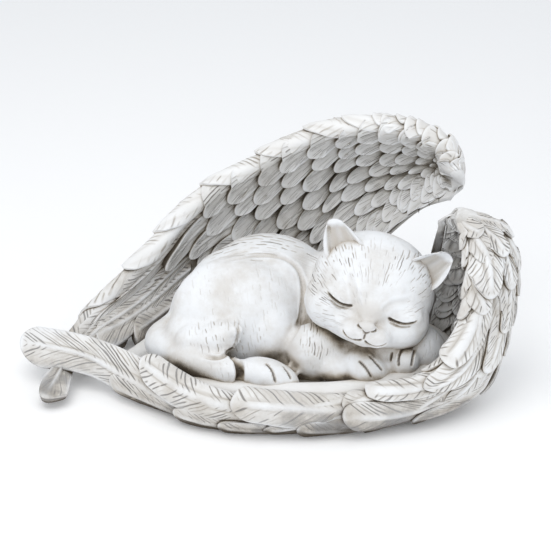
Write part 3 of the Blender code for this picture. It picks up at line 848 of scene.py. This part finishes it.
TAIL = [(-37, 4, 16, 7), (-42.5, -5, 15.5, 6.8), (-38, -14, 16, 6.6), (-29, -23, 17.5, 6.4),
        (-15, -31.5, 17.5, 5.8)]

clay = []
for centre, half_axes, turned in BODY_BALLS + HAUNCH_BALLS + HEEL_AND_HIND_PAW_BALLS + FORE_LEG_BALLS:
    ball(clay, centre, half_axes, turned)
roll(clay, TAIL)
body = Skin(fuse("kitten body", clay, voxel=1.18, softness=3))

# %% [markdown]
# ## The kitten's head
#
# The head lies tipped over on the paws, so it is built upright in a frame of its own, with its two sides
# alike, and the frame is rolled, turned and tilted as a whole. The skull, jaw, muzzle, nose, cheeks and the
# lids over the eyes are balls again. Its skin is finer than the body's, because the eye goes to the face.

# %% Head in clay
HEAD_CENTRE = (40.5, -14, 43.5)
HEAD_ROLL, HEAD_TILT, HEAD_TURN = 16.5, -14, -5
rolled = Matrix.Rotation(math.radians(HEAD_ROLL), 4, "Y") @ Matrix.Rotation(math.radians(HEAD_TURN), 4, "Z")
HEAD = Matrix.Translation(HEAD_CENTRE) @ rolled @ Matrix.Rotation(math.radians(HEAD_TILT), 4, "X")

clay = []
# Skull, jaw, chin, bridge of the nose and its tip.
ball(clay, (0, 2, 1), (24.2, 21, 21.5), place_in=HEAD)
ball(clay, (0, -6, -11), (19, 13, 9.5), place_in=HEAD)
ball(clay, (0, -15.5, -13.5), (8.5, 7.5, 5), place_in=HEAD)
ball(clay, (0, -13, -3), (7, 7.5, 9), (-18, 0, 0), HEAD)
ball(clay, (0, -21.6, -9.2), (3.4, 2.6, 2.2), place_in=HEAD)
# On each side a cheek, a pad of the muzzle and a lid.
for side in (-1, 1):
    ball(clay, (13.5 * side, -3, -7.5), (11.3, 13, 11.5), place_in=HEAD)
    ball(clay, (4.6 * side, -17.4, -13), (5.8, 5.4, 4.4), place_in=HEAD)
    ball(clay, (12.6 * side, -11.4, -2.8), (8.2, 5.9, 5.2), place_in=HEAD)
head = Skin(fuse("kitten head", clay, voxel=0.8, softness=8))

# %% [markdown]
# ## The ears
#
# The ears are thin and hollow, which fused balls can't be. Each is a grid of points for its front and one
# for its back, joined round the edge: a cupped triangle with a round tip, a thick rim and a few creases.

# %% Ears
EAR_BASE_IN = Vector((8, -8, 16))
EAR_BASE_OUT = Vector((22.8, -4.5, 10))
EAR_TIP = Vector((23.2, -5, 23.2))
EAR_HALF = (EAR_BASE_OUT - EAR_BASE_IN) / 2
EAR_MIDDLE = (EAR_BASE_OUT + EAR_BASE_IN) / 2
EAR_RIM, EAR_CUP, EAR_HOLLOW, EAR_CREASE = 1.2, 3.2, 1.5, 0.35
EAR_FOOT, EAR_NARROWS, EAR_ROUND = -0.25, 0.58, 0.2


def ear(casting, side):
    """One ear, on the side 1 or -1 of the head: hollow towards the front, with its foot inside the skull."""
    rows, columns = 56, 49
    up = np.linspace(EAR_FOOT, 1, rows)[:, None]
    phi = np.linspace(-np.pi / 2, np.pi / 2, columns)[None, :]
    s = np.sin(phi) + 0 * up
    grown = np.maximum(up, 0)
    spread = 1 - EAR_NARROWS * grown**1.35
    rise = up - EAR_ROUND * grown**3 * (1 - np.cos(phi))
    plan = np.array(EAR_MIDDLE) + rise[..., None] * np.array(EAR_TIP - EAR_MIDDLE)
    plan = plan + (s * spread)[..., None] * np.array(EAR_HALF)
    cup = EAR_CUP * (1 - s**2) * (1 - 0.8 * grown)
    to_edge = np.minimum(1 - np.abs(s), (1 - rise) * 1.2)
    hollow = smooth(to_edge, 0.14, 0.4)
    crease = EAR_CREASE * np.cos(9 * s) * hollow
    front, back = plan.copy(), plan.copy()
    front[..., 1] += cup - EAR_RIM + EAR_HOLLOW * hollow + crease
    back[..., 1] += cup + EAR_RIM - 0.8 * (1 - smooth(to_edge, 0, 0.25))
    blocks = []
    for face in (front, back):
        face[..., 0] *= side
        turned = face.reshape(-1, 3) @ np.array(HEAD)[:3, :3].T + np.array(HEAD)[:3, 3]
        blocks.append(turned.reshape(rows, columns, 3))
    front_numbers = casting.add(blocks[0], 0.34 * hollow - 0.3 * crease, 1 - hollow)
    back_numbers = casting.add(blocks[1], 0, 0.4)
    casting.quads(front_numbers, side > 0)
    casting.quads(back_numbers, side < 0)
    for edge in (np.s_[:, 0], np.s_[-1, :], np.s_[::-1, -1]):
        casting.quads(np.stack([front_numbers[edge], back_numbers[edge]], axis=1), side < 0)


ears = Casting()
ear(ears, -1)
ear(ears, 1)

# %% [markdown]
# ## The bed of the nest
#
# Round and under the kitten the casting is filled with a plain bed that joins the wings: two flat lumps
# and a roll along the inside of each wing. It is coarse, since it has no marks, and it is cut flat at the
# ground, where the statue stands.

# %% Bed in clay
BED_FRONT = [(-46, -21, 7, 5), (-28, -33, 9, 6.5), (0, -39.5, 10, 7), (34, -38.5, 10, 7.5),
             (58, -28, 10, 8.5), (70, -10, 10, 9)]
BED_BACK = [(-56, 0, 3, 5), (-48, 12, 3, 5), (-38, 26, 4, 6), (-8, 36, 7, 8), (22, 35, 7, 8),
            (46, 22, 7, 9), (62, 6, 7, 10)]

clay = []
ball(clay, (12, 2, 1), (58, 36, 12))
ball(clay, (62, -2, 5), (20, 22, 14))
roll(clay, BED_FRONT)
roll(clay, BED_BACK)
bed = Skin(fuse("bed of the nest", clay, voxel=3, softness=4))
bed.points[:, 2] = np.maximum(bed.points[:, 2], 0)

# %% [markdown]
# ## Marks on the face
#
# The eyes are shut: a deep curved line each, with a fainter one under it. Two soft hollows run down beside
# the bridge of the nose, and short lines draw the nose and the mouth. They are drawn flat, as they are seen
# from straight ahead, and then laid onto the skin, so they still fit when the clay under them changes.

# %% Lines of the face and the paws
# Each line is a flat drawing with its width and depth; the last value, where there is one, is its wash.
FACE_LINES = [
    ([(6.6, -4.6), (9, -5.5), (12.6, -5.6), (15.9, -4.5), (19, -2.6)], 0.5, 1.15, 1.7),
    ([(-6.8, -4.0), (-9, -5.0), (-12, -4.9), (-15.3, -3.8), (-18.8, -1.6)], 0.5, 1.15, 1.7),
    ([(7.2, -6.2), (12.6, -7.1), (17.2, -5.3)], 0.4, 0.55, 0.7),
    ([(-7.4, -5.7), (-12, -6.5), (-17, -4.3)], 0.4, 0.55, 0.7),
    ([(3.9, -8.0), (3.4, -9.8), (1.6, -10.6)], 0.42, 0.8, 1.2),
    ([(-3.9, -8.0), (-3.4, -9.8), (-1.6, -10.6)], 0.42, 0.8, 1.2),
    ([(1.9, -10.5), (0, -11.6), (-1.9, -10.5)], 0.4, 0.5, 1),
    ([(0, -11.4), (0.1, -13), (0.1, -14.6)], 0.4, 0.6, 1),
    ([(0.1, -14.2), (2, -15.5), (5, -15.8), (8.2, -14.5), (9.6, -13)], 0.42, 0.8, 1.2),
    ([(0.1, -14.2), (-1.8, -15.4), (-4.6, -15.7), (-7.4, -14.5), (-8.7, -12.8)], 0.42, 0.8, 1.2),
]
BROW_LINES = [
    ([(-12.5, 7.5), (-8.8, 1.5), (-5.2, -4.5)], 1.3, 0.55),
    ([(14.5, 4.5), (6.8, 0.8), (4.2, -3.5)], 1.3, 0.55),
]
PAW_LINES = [
    ([(34.3, 5.4), (37.4, 2.2), (40, -2.3)], 0.5, 0.9),
    ([(38.4, 7.3), (44.4, 0.6)], 0.5, 0.9),
    ([(47.8, 8.3), (47, 4.3)], 0.5, 0.8),
    ([(52.2, 10.5), (50.3, 6.6), (50, 2)], 0.5, 0.9),
    ([(56.8, 9.5), (55.8, 6.6), (55.1, 2)], 0.5, 0.8),
    ([(-1.3, 4.3), (1.6, 1), (3.2, -4.1)], 0.5, 0.9),
    ([(5.4, 3.4), (7.7, 0.4), (9.2, -2.6)], 0.5, 0.9),
]


# %% Eyes, nose and mouth
def laid_on(skin, place_in, flat, front):
    """A line drawn flat in a frame (x to the right, z up), laid onto the skin before `front` on its y."""
    away = np.array(place_in.inverted())
    local = skin.points @ away[:3, :3].T + away[:3, 3]
    numbers = np.flatnonzero(local[:, 1] < front)
    flat = np.array(flat, float)
    laid = []
    for x, z in spline(flat, np.linspace(0, 1, 8 * len(flat))):
        gap = np.hypot(local[numbers, 0] - x, local[numbers, 2] - z)
        close = numbers[gap < 1.0]
        if len(close):
            facing = local[close, 1] < local[close, 1].min() + 1.5
            weight = facing / (gap[gap < 1.0] ** 2 + 0.02)
            laid.append(place_in @ Vector((x, (local[close, 1] * weight).sum() / weight.sum(), z)))
    return laid


FACE_FRONT = 4
for flat, width, depth in BROW_LINES:
    head.cut(laid_on(head, HEAD, flat, FACE_FRONT), width, depth, soil=0.15, ridge=0.1)
head.refresh()
for flat, width, depth, soil in FACE_LINES:
    head.cut(laid_on(head, HEAD, flat, FACE_FRONT), width, depth, soil, ridge=0.35)
head.refresh()

# %% [markdown]
# ## Marks on the body
#
# The thigh is one round form, and the fold where it meets the belly is what makes it read as a leg. The
# heel, the end of the tail and the toes are cut in the same way. These lines are drawn on a sheet that
# faces the camera, because that is how their shape is judged.

# %% Toes and the fold of the haunch
SHOW = Matrix.Rotation(-VIEW_HEIGHT, 4, "X")
HAUNCH_FOLD = [(-19.2, 42.3), (-10, 45), (2.8, 45.4), (9.7, 42.3), (13.2, 36.9), (14.2, 28), (12.2, 19.1),
               (7.6, 10)]
HEEL_FOLD = [(-27.8, 7.5), (-19.6, 5.8), (-14.3, 8.3), (-11.4, 12.4), (-10.9, 16.5), (-12.5, 19.4)]
TAIL_END = [(-15.5, 8.5), (-12.6, 6), (-10.8, 2), (-10.8, -2), (-12.4, -5)]
body.cut(laid_on(body, SHOW, HAUNCH_FOLD, front=10), width=1.0, depth=1.1, soil=0.35)
body.cut(laid_on(body, SHOW, HEEL_FOLD, front=0), width=0.9, depth=1.3, soil=0.5)
body.cut(laid_on(body, SHOW, TAIL_END, front=0), width=1.4, depth=2.8, soil=1.2, ridge=0.2, taper=0.1)
body.refresh()
for flat, width, depth in PAW_LINES:
    body.cut(laid_on(body, SHOW, flat, front=0), width, depth, soil=1.7)
body.refresh()
print("lines cut:", len(FACE_LINES) + len(BROW_LINES), "in the head and", len(PAW_LINES) + 3, "in the body")

# %% [markdown]
# ## Fur
#
# The fur is not carved all over. It is a few strokes where hair would part, mostly on the cheeks, at the
# ears, along the back and on the chest. Each patch is a round area in the view from the front, and its
# strokes run the way the hair lies: away from the muzzle on the head, backwards on the back, down elsewhere.
# At the end the whole skin gets slight unevenness, as a hand leaves it.

# %% Strokes of fur
def patches(skin, areas):
    """Strength of the strokes at each point, from areas (x, height, half width, half height, strength)."""
    seen = skin.points @ np.array(SHOW)[:3, :3]
    total = np.zeros(len(seen))
    for x, z, across, up, strength in areas:
        reach = ((seen[:, 0] - x) / across) ** 2 + ((seen[:, 2] - z) / up) ** 2
        total = np.maximum(total, strength * smooth(reach, 1.5, 0.4))
    return total


# %% Fur of the head
HEAD_PATCHES = [(21, 36, 6, 10, 1), (29, 45, 8, 4.5, 1), (54, 43, 8, 4.5, 0.9), (59, 34, 5, 7, 0.8),
                (39.5, 42, 13, 10, 0.6), (24, 24, 7, 8, 0.6), (56, 25, 5, 6, 0.6), (34, 32, 6, 6, 0.5)]
MUZZLE = HEAD @ Vector((0, -14, -9))
HEAD_REACH = 24
from_muzzle = (head.points - np.array(MUZZLE)) @ np.array(HEAD)[:3, :3]
round_muzzle = HEAD_REACH * np.arctan2(from_muzzle[:, 0], from_muzzle[:, 2])
head.comb(patches(head, HEAD_PATCHES), round_muzzle, np.linalg.norm(from_muzzle, axis=1), spacing=1.05)

# %% Fur of the body
BACK_PATCHES = [(-8, 50, 30, 7, 1), (18, 47, 12, 7, 0.8)]
HAUNCH_PATCHES = [(-12, 30, 22, 14, 0.35), (-16, 13, 18, 8, 0.75), (-22, 2, 16, 5, 0.4)]
CHEST_PATCHES = [(19, 16, 8, 14, 0.9), (30, 12, 10, 7, 0.5), (62, 12, 7, 9, 0.4)]
seen = body.points @ np.array(SHOW)[:3, :3]
bent = seen[:, 2] + 0.012 * (seen[:, 0] + 4) ** 2
body.comb(patches(body, BACK_PATCHES), bent, 0.6 * seen[:, 0], spacing=1.2)
body.comb(patches(body, HAUNCH_PATCHES), seen[:, 0] + 0.15 * seen[:, 2], seen[:, 2], spacing=1.3)
body.comb(patches(body, CHEST_PATCHES), seen[:, 0] - 0.1 * seen[:, 2], seen[:, 2], spacing=1.2)

# %% Unevenness of the skin, and the finished pieces
BROAD_UNEVEN, FINE_UNEVEN, FINE_SIZE = 0.22, 0.12, 2.4
for skin, broad_size in ((body, 9), (head, 7)):
    skin.refresh()
    uneven = BROAD_UNEVEN * cloud(skin.points, broad_size, 31)
    uneven += FINE_UNEVEN * cloud(skin.points, FINE_SIZE, 32)
    skin.points += uneven[:, None] * skin.normals

body_piece = body.make("kitten_body")
head_piece = head.make("kitten_head")
ears_piece = ears.make("kitten_ears")
bed_piece = bed.make("nest_bed")

# %% [markdown]
# ## Stone, wash and wear
#
# Four shader groups finish every piece, and each does what one step in the workshop does: the wash of
# brown paint, the rubbing, the grain of the pour and the carver's finest strokes. The wash also paints the
# shade of the hollows, and the rubbing paints a cool sheen on the open stone. They could be painted as
# pictures, but a group works out its colour from the surface itself, so it fits any shape and size and can
# be used with other values on another piece. The next cells are the tools that build them.

# %% Sockets and links of a group
def new_group(name, inputs, outputs):
    """A shader group with named inputs (name, kind, value) and outputs (name, kind)."""
    group = bpy.data.node_groups.new(name, "ShaderNodeTree")
    for label, kind_of, value in inputs:
        socket = group.interface.new_socket(label, in_out="INPUT", socket_type=kind_of)
        socket.default_value = value
    for label, kind_of in outputs:
        group.interface.new_socket(label, in_out="OUTPUT", socket_type=kind_of)
    return group, group.nodes.new("NodeGroupInput"), group.nodes.new("NodeGroupOutput")


def node(tree, kind_of, settings=None, **values):
    """A node with its settings; each value is a number or colour, or a socket to link from."""
    made = tree.nodes.new(kind_of)
    for label, value in (settings or {}).items():
        setattr(made, label, value)
    for label, value in values.items():
        number = int(label[1:]) if label[0] == "i" and label[1:].isdigit() else label.replace("_", " ")
        socket = made.inputs[number]
        if isinstance(value, bpy.types.NodeSocket):
            tree.links.new(value, socket)
        else:
            socket.default_value = value
    return made


def maths(tree, operation, first, second=0.0, clamp=True):
    """One sum of two values, kept from 0 to 1 unless `clamp` is off."""
    made = node(tree, "ShaderNodeMath", {"operation": operation, "use_clamp": clamp}, i0=first, i1=second)
    return made.outputs[0]


def s_curve(tree, value, start, end):
    """0 up to start and 1 from end on, with a soft curve between."""
    made = node(tree, "ShaderNodeMapRange", {"interpolation_type": "SMOOTHSTEP"}, Value=value,
                From_Min=start, From_Max=end)
    return made.outputs["Result"]


def blend(tree, share, first, second):
    """The first colour where share is 0 and the second where it is 1."""
    made = tree.nodes.new("ShaderNodeMix")
    made.data_type = "RGBA"
    for socket, value in ((0, share), (6, first), (7, second)):
        if isinstance(value, bpy.types.NodeSocket):
            tree.links.new(value, made.inputs[socket])
        else:
            made.inputs[socket].default_value = value
    return made.outputs[2]


FLOAT, COLOUR = "NodeSocketFloat", "NodeSocketColor"

# %% [markdown]
# ## The wash, with painted shade
#
# Thin brown paint runs into every hollow and is wiped off the rest. So the group takes the ivory towards
# tan by the larger of two values: `Cut`, the wash in the carved marks, and `Recess`, how shut in a spot is,
# which gives both the wash held in the hollows and the painted shade that falls there.
# Where either is strong the tan goes on to umber. A patchy `Film` is left on flat places, and `Foot`
# darkens the stone towards the base: partly wash, partly painted shade on the low faces turned from the
# lamps.

# %% Wash with painted shade
wash_and_shade_group, given, result = new_group(
    "brown wash and painted shade",
    [("Ivory", COLOUR, (0.8, 0.78, 0.73, 1)), ("Tan", COLOUR, (0.4, 0.33, 0.24, 1)),
     ("Umber", COLOUR, (0.06, 0.045, 0.03, 1)), ("Cut", FLOAT, 0), ("Recess", FLOAT, 0),
     ("Amount", FLOAT, 1), ("Film", FLOAT, 0.15), ("Foot", FLOAT, 0), ("Foot Height", FLOAT, 0.015)],
    [("Color", COLOUR)],
)
tree = wash_and_shade_group
spot = node(tree, "ShaderNodeTexCoord").outputs["Object"]
patchy = node(tree, "ShaderNodeTexNoise", Vector=spot, Scale=130, Detail=4, Roughness=0.6).outputs["Fac"]
uneven = maths(tree, "MULTIPLY_ADD", patchy, 1.1, clamp=False)
uneven.node.inputs[2].default_value = 0.35
# Wash held in the hollows; it also paints the shade that falls there.
wash_and_shade = maths(tree, "MULTIPLY", given.outputs["Recess"], uneven)
wash_and_shade = maths(tree, "MULTIPLY", wash_and_shade, given.outputs["Amount"])
cut = maths(tree, "MULTIPLY", given.outputs["Cut"], given.outputs["Amount"])
clouds = node(tree, "ShaderNodeTexNoise", Vector=spot, Scale=45, Detail=5, Roughness=0.65).outputs["Fac"]
film = maths(tree, "MULTIPLY", s_curve(tree, clouds, 0.4, 0.68), given.outputs["Film"])
wash_and_shade = maths(tree, "ADD", wash_and_shade, film, clamp=False)
# Darker towards the base: partly wash, partly painted shade.
height = node(tree, "ShaderNodeSeparateXYZ", Vector=spot).outputs["Z"]
high_up = s_curve(tree, height, 0.0, given.outputs["Foot Height"])
foot = maths(tree, "MULTIPLY", maths(tree, "SUBTRACT", 1.0, high_up), given.outputs["Foot"])
wash_and_shade = maths(tree, "ADD", wash_and_shade, maths(tree, "MULTIPLY", foot, uneven), clamp=False)
tan_share = maths(tree, "MAXIMUM", maths(tree, "MULTIPLY", cut, 1.5), wash_and_shade)
umber_share = maths(tree, "MAXIMUM", s_curve(tree, cut, 0.4, 1.0), s_curve(tree, wash_and_shade, 0.7, 1.3))
tinted = blend(tree, tan_share, given.outputs["Ivory"], given.outputs["Tan"])
stained = blend(tree, maths(tree, "MULTIPLY", umber_share, 0.9), tinted, given.outputs["Umber"])
tree.links.new(stained, result.inputs["Color"])

# %% [markdown]
# ## Rubbed clean, with a painted sheen
#
# A damp cloth takes the wash off the edges, the shafts and the round places first. The group mixes in a
# cooler white where `High` is strong, unevenly as a hand rubs, and keeps off the recesses. It also mixes
# some of that white into every open place, and its coolness is painted sheen: the bluish light of the room
# on the pale stone.

# %% Rubbed clean, with painted sheen
wear_and_sheen_group, given, result = new_group(
    "rubbed clean with painted sheen",
    [("Color", COLOUR, (0.8, 0.78, 0.73, 1)), ("White", COLOUR, (0.88, 0.9, 0.93, 1)), ("High", FLOAT, 0),
     ("Recess", FLOAT, 0)],
    [("Color", COLOUR)],
)
tree = wear_and_sheen_group
spot = node(tree, "ShaderNodeTexCoord").outputs["Object"]
patchy = node(tree, "ShaderNodeTexNoise", Vector=spot, Scale=60, Detail=3).outputs["Fac"]
# Rubbed wear, and a painted cool sheen on every open place.
rubbed = maths(tree, "MULTIPLY", maths(tree, "ADD", given.outputs["High"], 0.5, clamp=False), patchy)
open_spot = maths(tree, "SUBTRACT", 1.0, maths(tree, "MULTIPLY", given.outputs["Recess"], 1.6))
rubbed = maths(tree, "MULTIPLY", rubbed, open_spot)
tree.links.new(blend(tree, rubbed, given.outputs["Color"], given.outputs["White"]), result.inputs["Color"])

# %% [markdown]
# ## The grain of the cast
#
# Poured stone has a fine tooth and small pinholes where air sat against the mould. Both are far smaller
# than the points of the mesh, so they are a height for a bump, and the tooth also makes the gloss uneven.

# %% Cast grain
grain_group, given, result = new_group(
    "cast grain",
    [("Scale", FLOAT, 900), ("Pinholes", FLOAT, 0.5)],
    [("Height", FLOAT), ("Tooth", FLOAT)],
)
tree = grain_group
spot = node(tree, "ShaderNodeTexCoord").outputs["Object"]
tooth = node(tree, "ShaderNodeTexNoise", Vector=spot, Scale=given.outputs["Scale"], Detail=5, Roughness=0.65)
holes = node(tree, "ShaderNodeTexVoronoi", Vector=spot, Scale=given.outputs["Scale"], Randomness=1)
pin = maths(tree, "LESS_THAN", holes.outputs["Distance"], 0.16)
pin = maths(tree, "MULTIPLY", pin, given.outputs["Pinholes"])
tree.links.new(maths(tree, "SUBTRACT", tooth.outputs["Fac"], pin, clamp=False), result.inputs["Height"])
tree.links.new(tooth.outputs["Fac"], result.inputs["Tooth"])

# %% [markdown]
# ## Carved strokes
#
# Barbs and fur are fine grooves side by side. `Across` counts them, so each whole number is the middle of a
# groove. The group sways them a little, gives each its own force and breaks it into strokes of about
# `Stroke Length`, since even, endless lines would look machined.

# %% Carved strokes
stroke_group, given, result = new_group(
    "carved strokes",
    [("Across", FLOAT, 0), ("Along", FLOAT, 0), ("Strength", FLOAT, 1), ("Stroke Length", FLOAT, 8),
     ("Broken", FLOAT, 0.5), ("Thinness", FLOAT, 0.22)],
    [("Line", FLOAT)],
)
tree = stroke_group
spread = maths(tree, "MULTIPLY", given.outputs["Across"], 0.6, clamp=False)
reach = maths(tree, "DIVIDE", given.outputs["Along"], given.outputs["Stroke Length"], clamp=False)
sway = node(tree, "ShaderNodeCombineXYZ", X=spread, Y=reach)
sway = node(tree, "ShaderNodeTexNoise", Vector=sway.outputs[0], Scale=1.0, Detail=1.0).outputs["Fac"]
sway = maths(tree, "MULTIPLY", sway, 1.2, clamp=False)
phase = maths(tree, "ADD", given.outputs["Across"], sway, clamp=False)
number = maths(tree, "ROUND", phase, clamp=False)
off_line = maths(tree, "ABSOLUTE", maths(tree, "SUBTRACT", phase, number, clamp=False))
on_line = maths(tree, "SUBTRACT", 1.0, s_curve(tree, off_line, 0.03, given.outputs["Thinness"]))
force = node(tree, "ShaderNodeTexWhiteNoise", {"noise_dimensions": "1D"}, W=number).outputs["Value"]
force = maths(tree, "ADD", maths(tree, "MULTIPLY", force, 0.75), 0.3)
shift = maths(tree, "MULTIPLY", number, 3.71, clamp=False)
shifted = maths(tree, "ADD", reach, shift, clamp=False)
gaps = node(tree, "ShaderNodeCombineXYZ", X=maths(tree, "MULTIPLY", number, 7.3, clamp=False), Y=shifted)
gaps = node(tree, "ShaderNodeTexNoise", Vector=gaps.outputs[0], Scale=1.0, Detail=1.0).outputs["Fac"]
rare = maths(tree, "MULTIPLY", maths(tree, "SUBTRACT", 1.0, given.outputs["Strength"]), 0.12)
start = maths(tree, "SUBTRACT", given.outputs["Broken"], 0.05, clamp=False)
start = maths(tree, "ADD", start, rare, clamp=False)
stop = maths(tree, "ADD", start, 0.1, clamp=False)
line = maths(tree, "MULTIPLY", maths(tree, "MULTIPLY", on_line, force), s_curve(tree, gaps, start, stop))
tree.links.new(maths(tree, "MULTIPLY", line, given.outputs["Strength"]), result.inputs["Line"])
print("shader groups:", [group.name for group in bpy.data.node_groups])

# %% [markdown]
# ## Cast stone
#
# One material puts the four groups together. It is made six times, since the wash is darkest inside the
# wings and lightest on the kitten and the bed; the dark stones inside the wings also paint the shade that
# falls there. The grain and the strokes are also bumps, so light catches them.

# %% Cast stone
FOOT_HEIGHT = 24 * MM
OPEN_SHADE, DEEP_SHADE = 0.9, 0.3
SMOOTHEST, ROUGHEST = 0.62, 0.88
STONE_SHINE = 0.35


def cast_stone(name, ivory, tan, amount, recess_reach, grain, stroke_length, broken, thinness, stained, film,
               foot=0.0):
    """Cast stone with its wash: `amount` of it in the hollows, where it also paints their shade, `stained`
    in the strokes, `film` on flat places and `foot` near the base, partly painted shade. `recess_reach` is
    how far a hollow reaches, in millimetres, both for the wash it gathers and for the shade painted in it.
    The strokes are as long, broken and thin as the group is told."""
    made = bpy.data.materials.new(name)
    made.use_nodes = True
    tree = made.node_tree
    surface = tree.nodes["Principled BSDF"]
    wash, high, across, along, lines = (
        node(tree, "ShaderNodeAttribute", {"attribute_name": label}).outputs["Fac"] for label in PAINTS
    )
    strokes = node(tree, "ShaderNodeGroup", {"node_tree": stroke_group}, Across=across, Along=along,
                   Strength=lines, Stroke_Length=stroke_length, Broken=broken, Thinness=thinness)
    line = strokes.outputs["Line"]
    cut = maths(tree, "MAXIMUM", wash, maths(tree, "MULTIPLY", line, stained))
    # Ambient occlusion finds the hollows: the wash in them and their painted shade both follow it.
    shade = node(tree, "ShaderNodeAmbientOcclusion", {"samples": 8}, Distance=recess_reach * MM)
    recess = node(tree, "ShaderNodeMapRange", {"clamp": True}, Value=shade.outputs["AO"])
    for label, value in (("From Min", OPEN_SHADE), ("From Max", DEEP_SHADE), ("To Min", 0), ("To Max", 1)):
        recess.inputs[label].default_value = value
    washed = node(tree, "ShaderNodeGroup", {"node_tree": wash_and_shade_group}, Ivory=ivory, Tan=tan, Cut=cut,
                  Recess=recess.outputs["Result"], Amount=amount, Film=film, Foot=foot,
                  Foot_Height=FOOT_HEIGHT)
    # Rubbed wear with painted cool sheen.
    rubbed = node(tree, "ShaderNodeGroup", {"node_tree": wear_and_sheen_group}, Color=washed.outputs["Color"],
                  High=high, Recess=recess.outputs["Result"])
    tooth = node(tree, "ShaderNodeGroup", {"node_tree": grain_group}, Scale=grain)
    rough = node(tree, "ShaderNodeMapRange", Value=tooth.outputs["Tooth"])
    for label, value in (("To Min", SMOOTHEST), ("To Max", ROUGHEST)):
        rough.inputs[label].default_value = value
    fine = node(tree, "ShaderNodeBump", Height=tooth.outputs["Height"], Strength=0.25, Distance=0.25 * MM)
    carved = node(tree, "ShaderNodeBump", {"invert": True}, Height=line, Strength=0.8, Distance=0.4 * MM,
                  Normal=fine.outputs["Normal"])
    tree.links.new(rubbed.outputs["Color"], surface.inputs["Base Color"])
    tree.links.new(rough.outputs["Result"], surface.inputs["Roughness"])
    tree.links.new(carved.outputs["Normal"], surface.inputs["Normal"])
    surface.inputs["Specular IOR Level"].default_value = STONE_SHINE
    return made


# %% The six stones
# The kitten's cooler ivory paints the bluish sheen of the room light on the same stone.
IVORY, IVORY_WITH_COOL_SHEEN = (0.795, 0.785, 0.765, 1), (0.79, 0.8, 0.81, 1)
BROWN, DEEP_BROWN, LIGHT_BROWN = (0.34, 0.28, 0.2, 1), (0.27, 0.23, 0.17, 1), (0.42, 0.35, 0.26, 1)

# The wings get `foot`, so they darken towards the base: partly wash, partly painted shade.
wing_stone = cast_stone(
    "cast stone of the wings", IVORY, BROWN, amount=1.25, recess_reach=6, grain=1100, stroke_length=9,
    broken=0.38, thinness=0.28, stained=0.95, film=0.6, foot=0.85)
rim_stone = cast_stone(
    "cast stone of the rim", IVORY, BROWN, amount=0.95, recess_reach=4, grain=1100, stroke_length=9,
    broken=0.42, thinness=0.26, stained=0.9, film=0.1)
# Inside the wings the wash is stronger and gathers from further off, which also paints the shade there.
shaded_inner_stone = cast_stone(
    "cast stone inside the wings with painted shade", IVORY, DEEP_BROWN, amount=1.12, recess_reach=7, grain=1100,
    stroke_length=7, broken=0.42, thinness=0.28, stained=1.0, film=0.5)
# Inside the low wing the wash, its reach and its film are strongest of all: painted deep shade as well as
# wash.
shaded_hollow_stone = cast_stone(
    "cast stone inside the low wing with painted shade", IVORY, DEEP_BROWN, amount=2.1, recess_reach=9, grain=1100,
    stroke_length=7, broken=0.4, thinness=0.3, stained=1.0, film=0.8)
fur_stone = cast_stone(
    "cast stone of the kitten", IVORY_WITH_COOL_SHEEN, LIGHT_BROWN, amount=1.05, recess_reach=6, grain=1300,
    stroke_length=3.5, broken=0.48, thinness=0.26, stained=0.95, film=0.55)
bed_stone = cast_stone(
    "cast stone of the bed", IVORY, LIGHT_BROWN, amount=0.55, recess_reach=7, grain=900, stroke_length=8,
    broken=0.5, thinness=0.2, stained=0.5, film=0.15)

# %% [markdown]
# ## Putting it together
#
# The real statue is one casting, so every piece rides on the same body and stands for the same solid. The
# pieces are kept apart only so that each can have its own stone.

# %% Ride, replace and finish
finishes = [
    (far_inside_piece, shaded_inner_stone), (far_back_piece, wing_stone), (far_rim_piece, rim_stone),
    (far_tip_piece, wing_stone), (near_inside_piece, shaded_hollow_stone), (near_face_piece, wing_stone),
    (near_rim_piece, wing_stone), (near_tip_piece, wing_stone), (body_piece, fur_stone),
    (head_piece, fur_stone), (ears_piece, fur_stone), (bed_piece, bed_stone),
]
for piece, stone in finishes:
    piece.data.materials.append(stone)
    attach(piece, "root")
    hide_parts("statue")
print("pieces:", len(finishes))
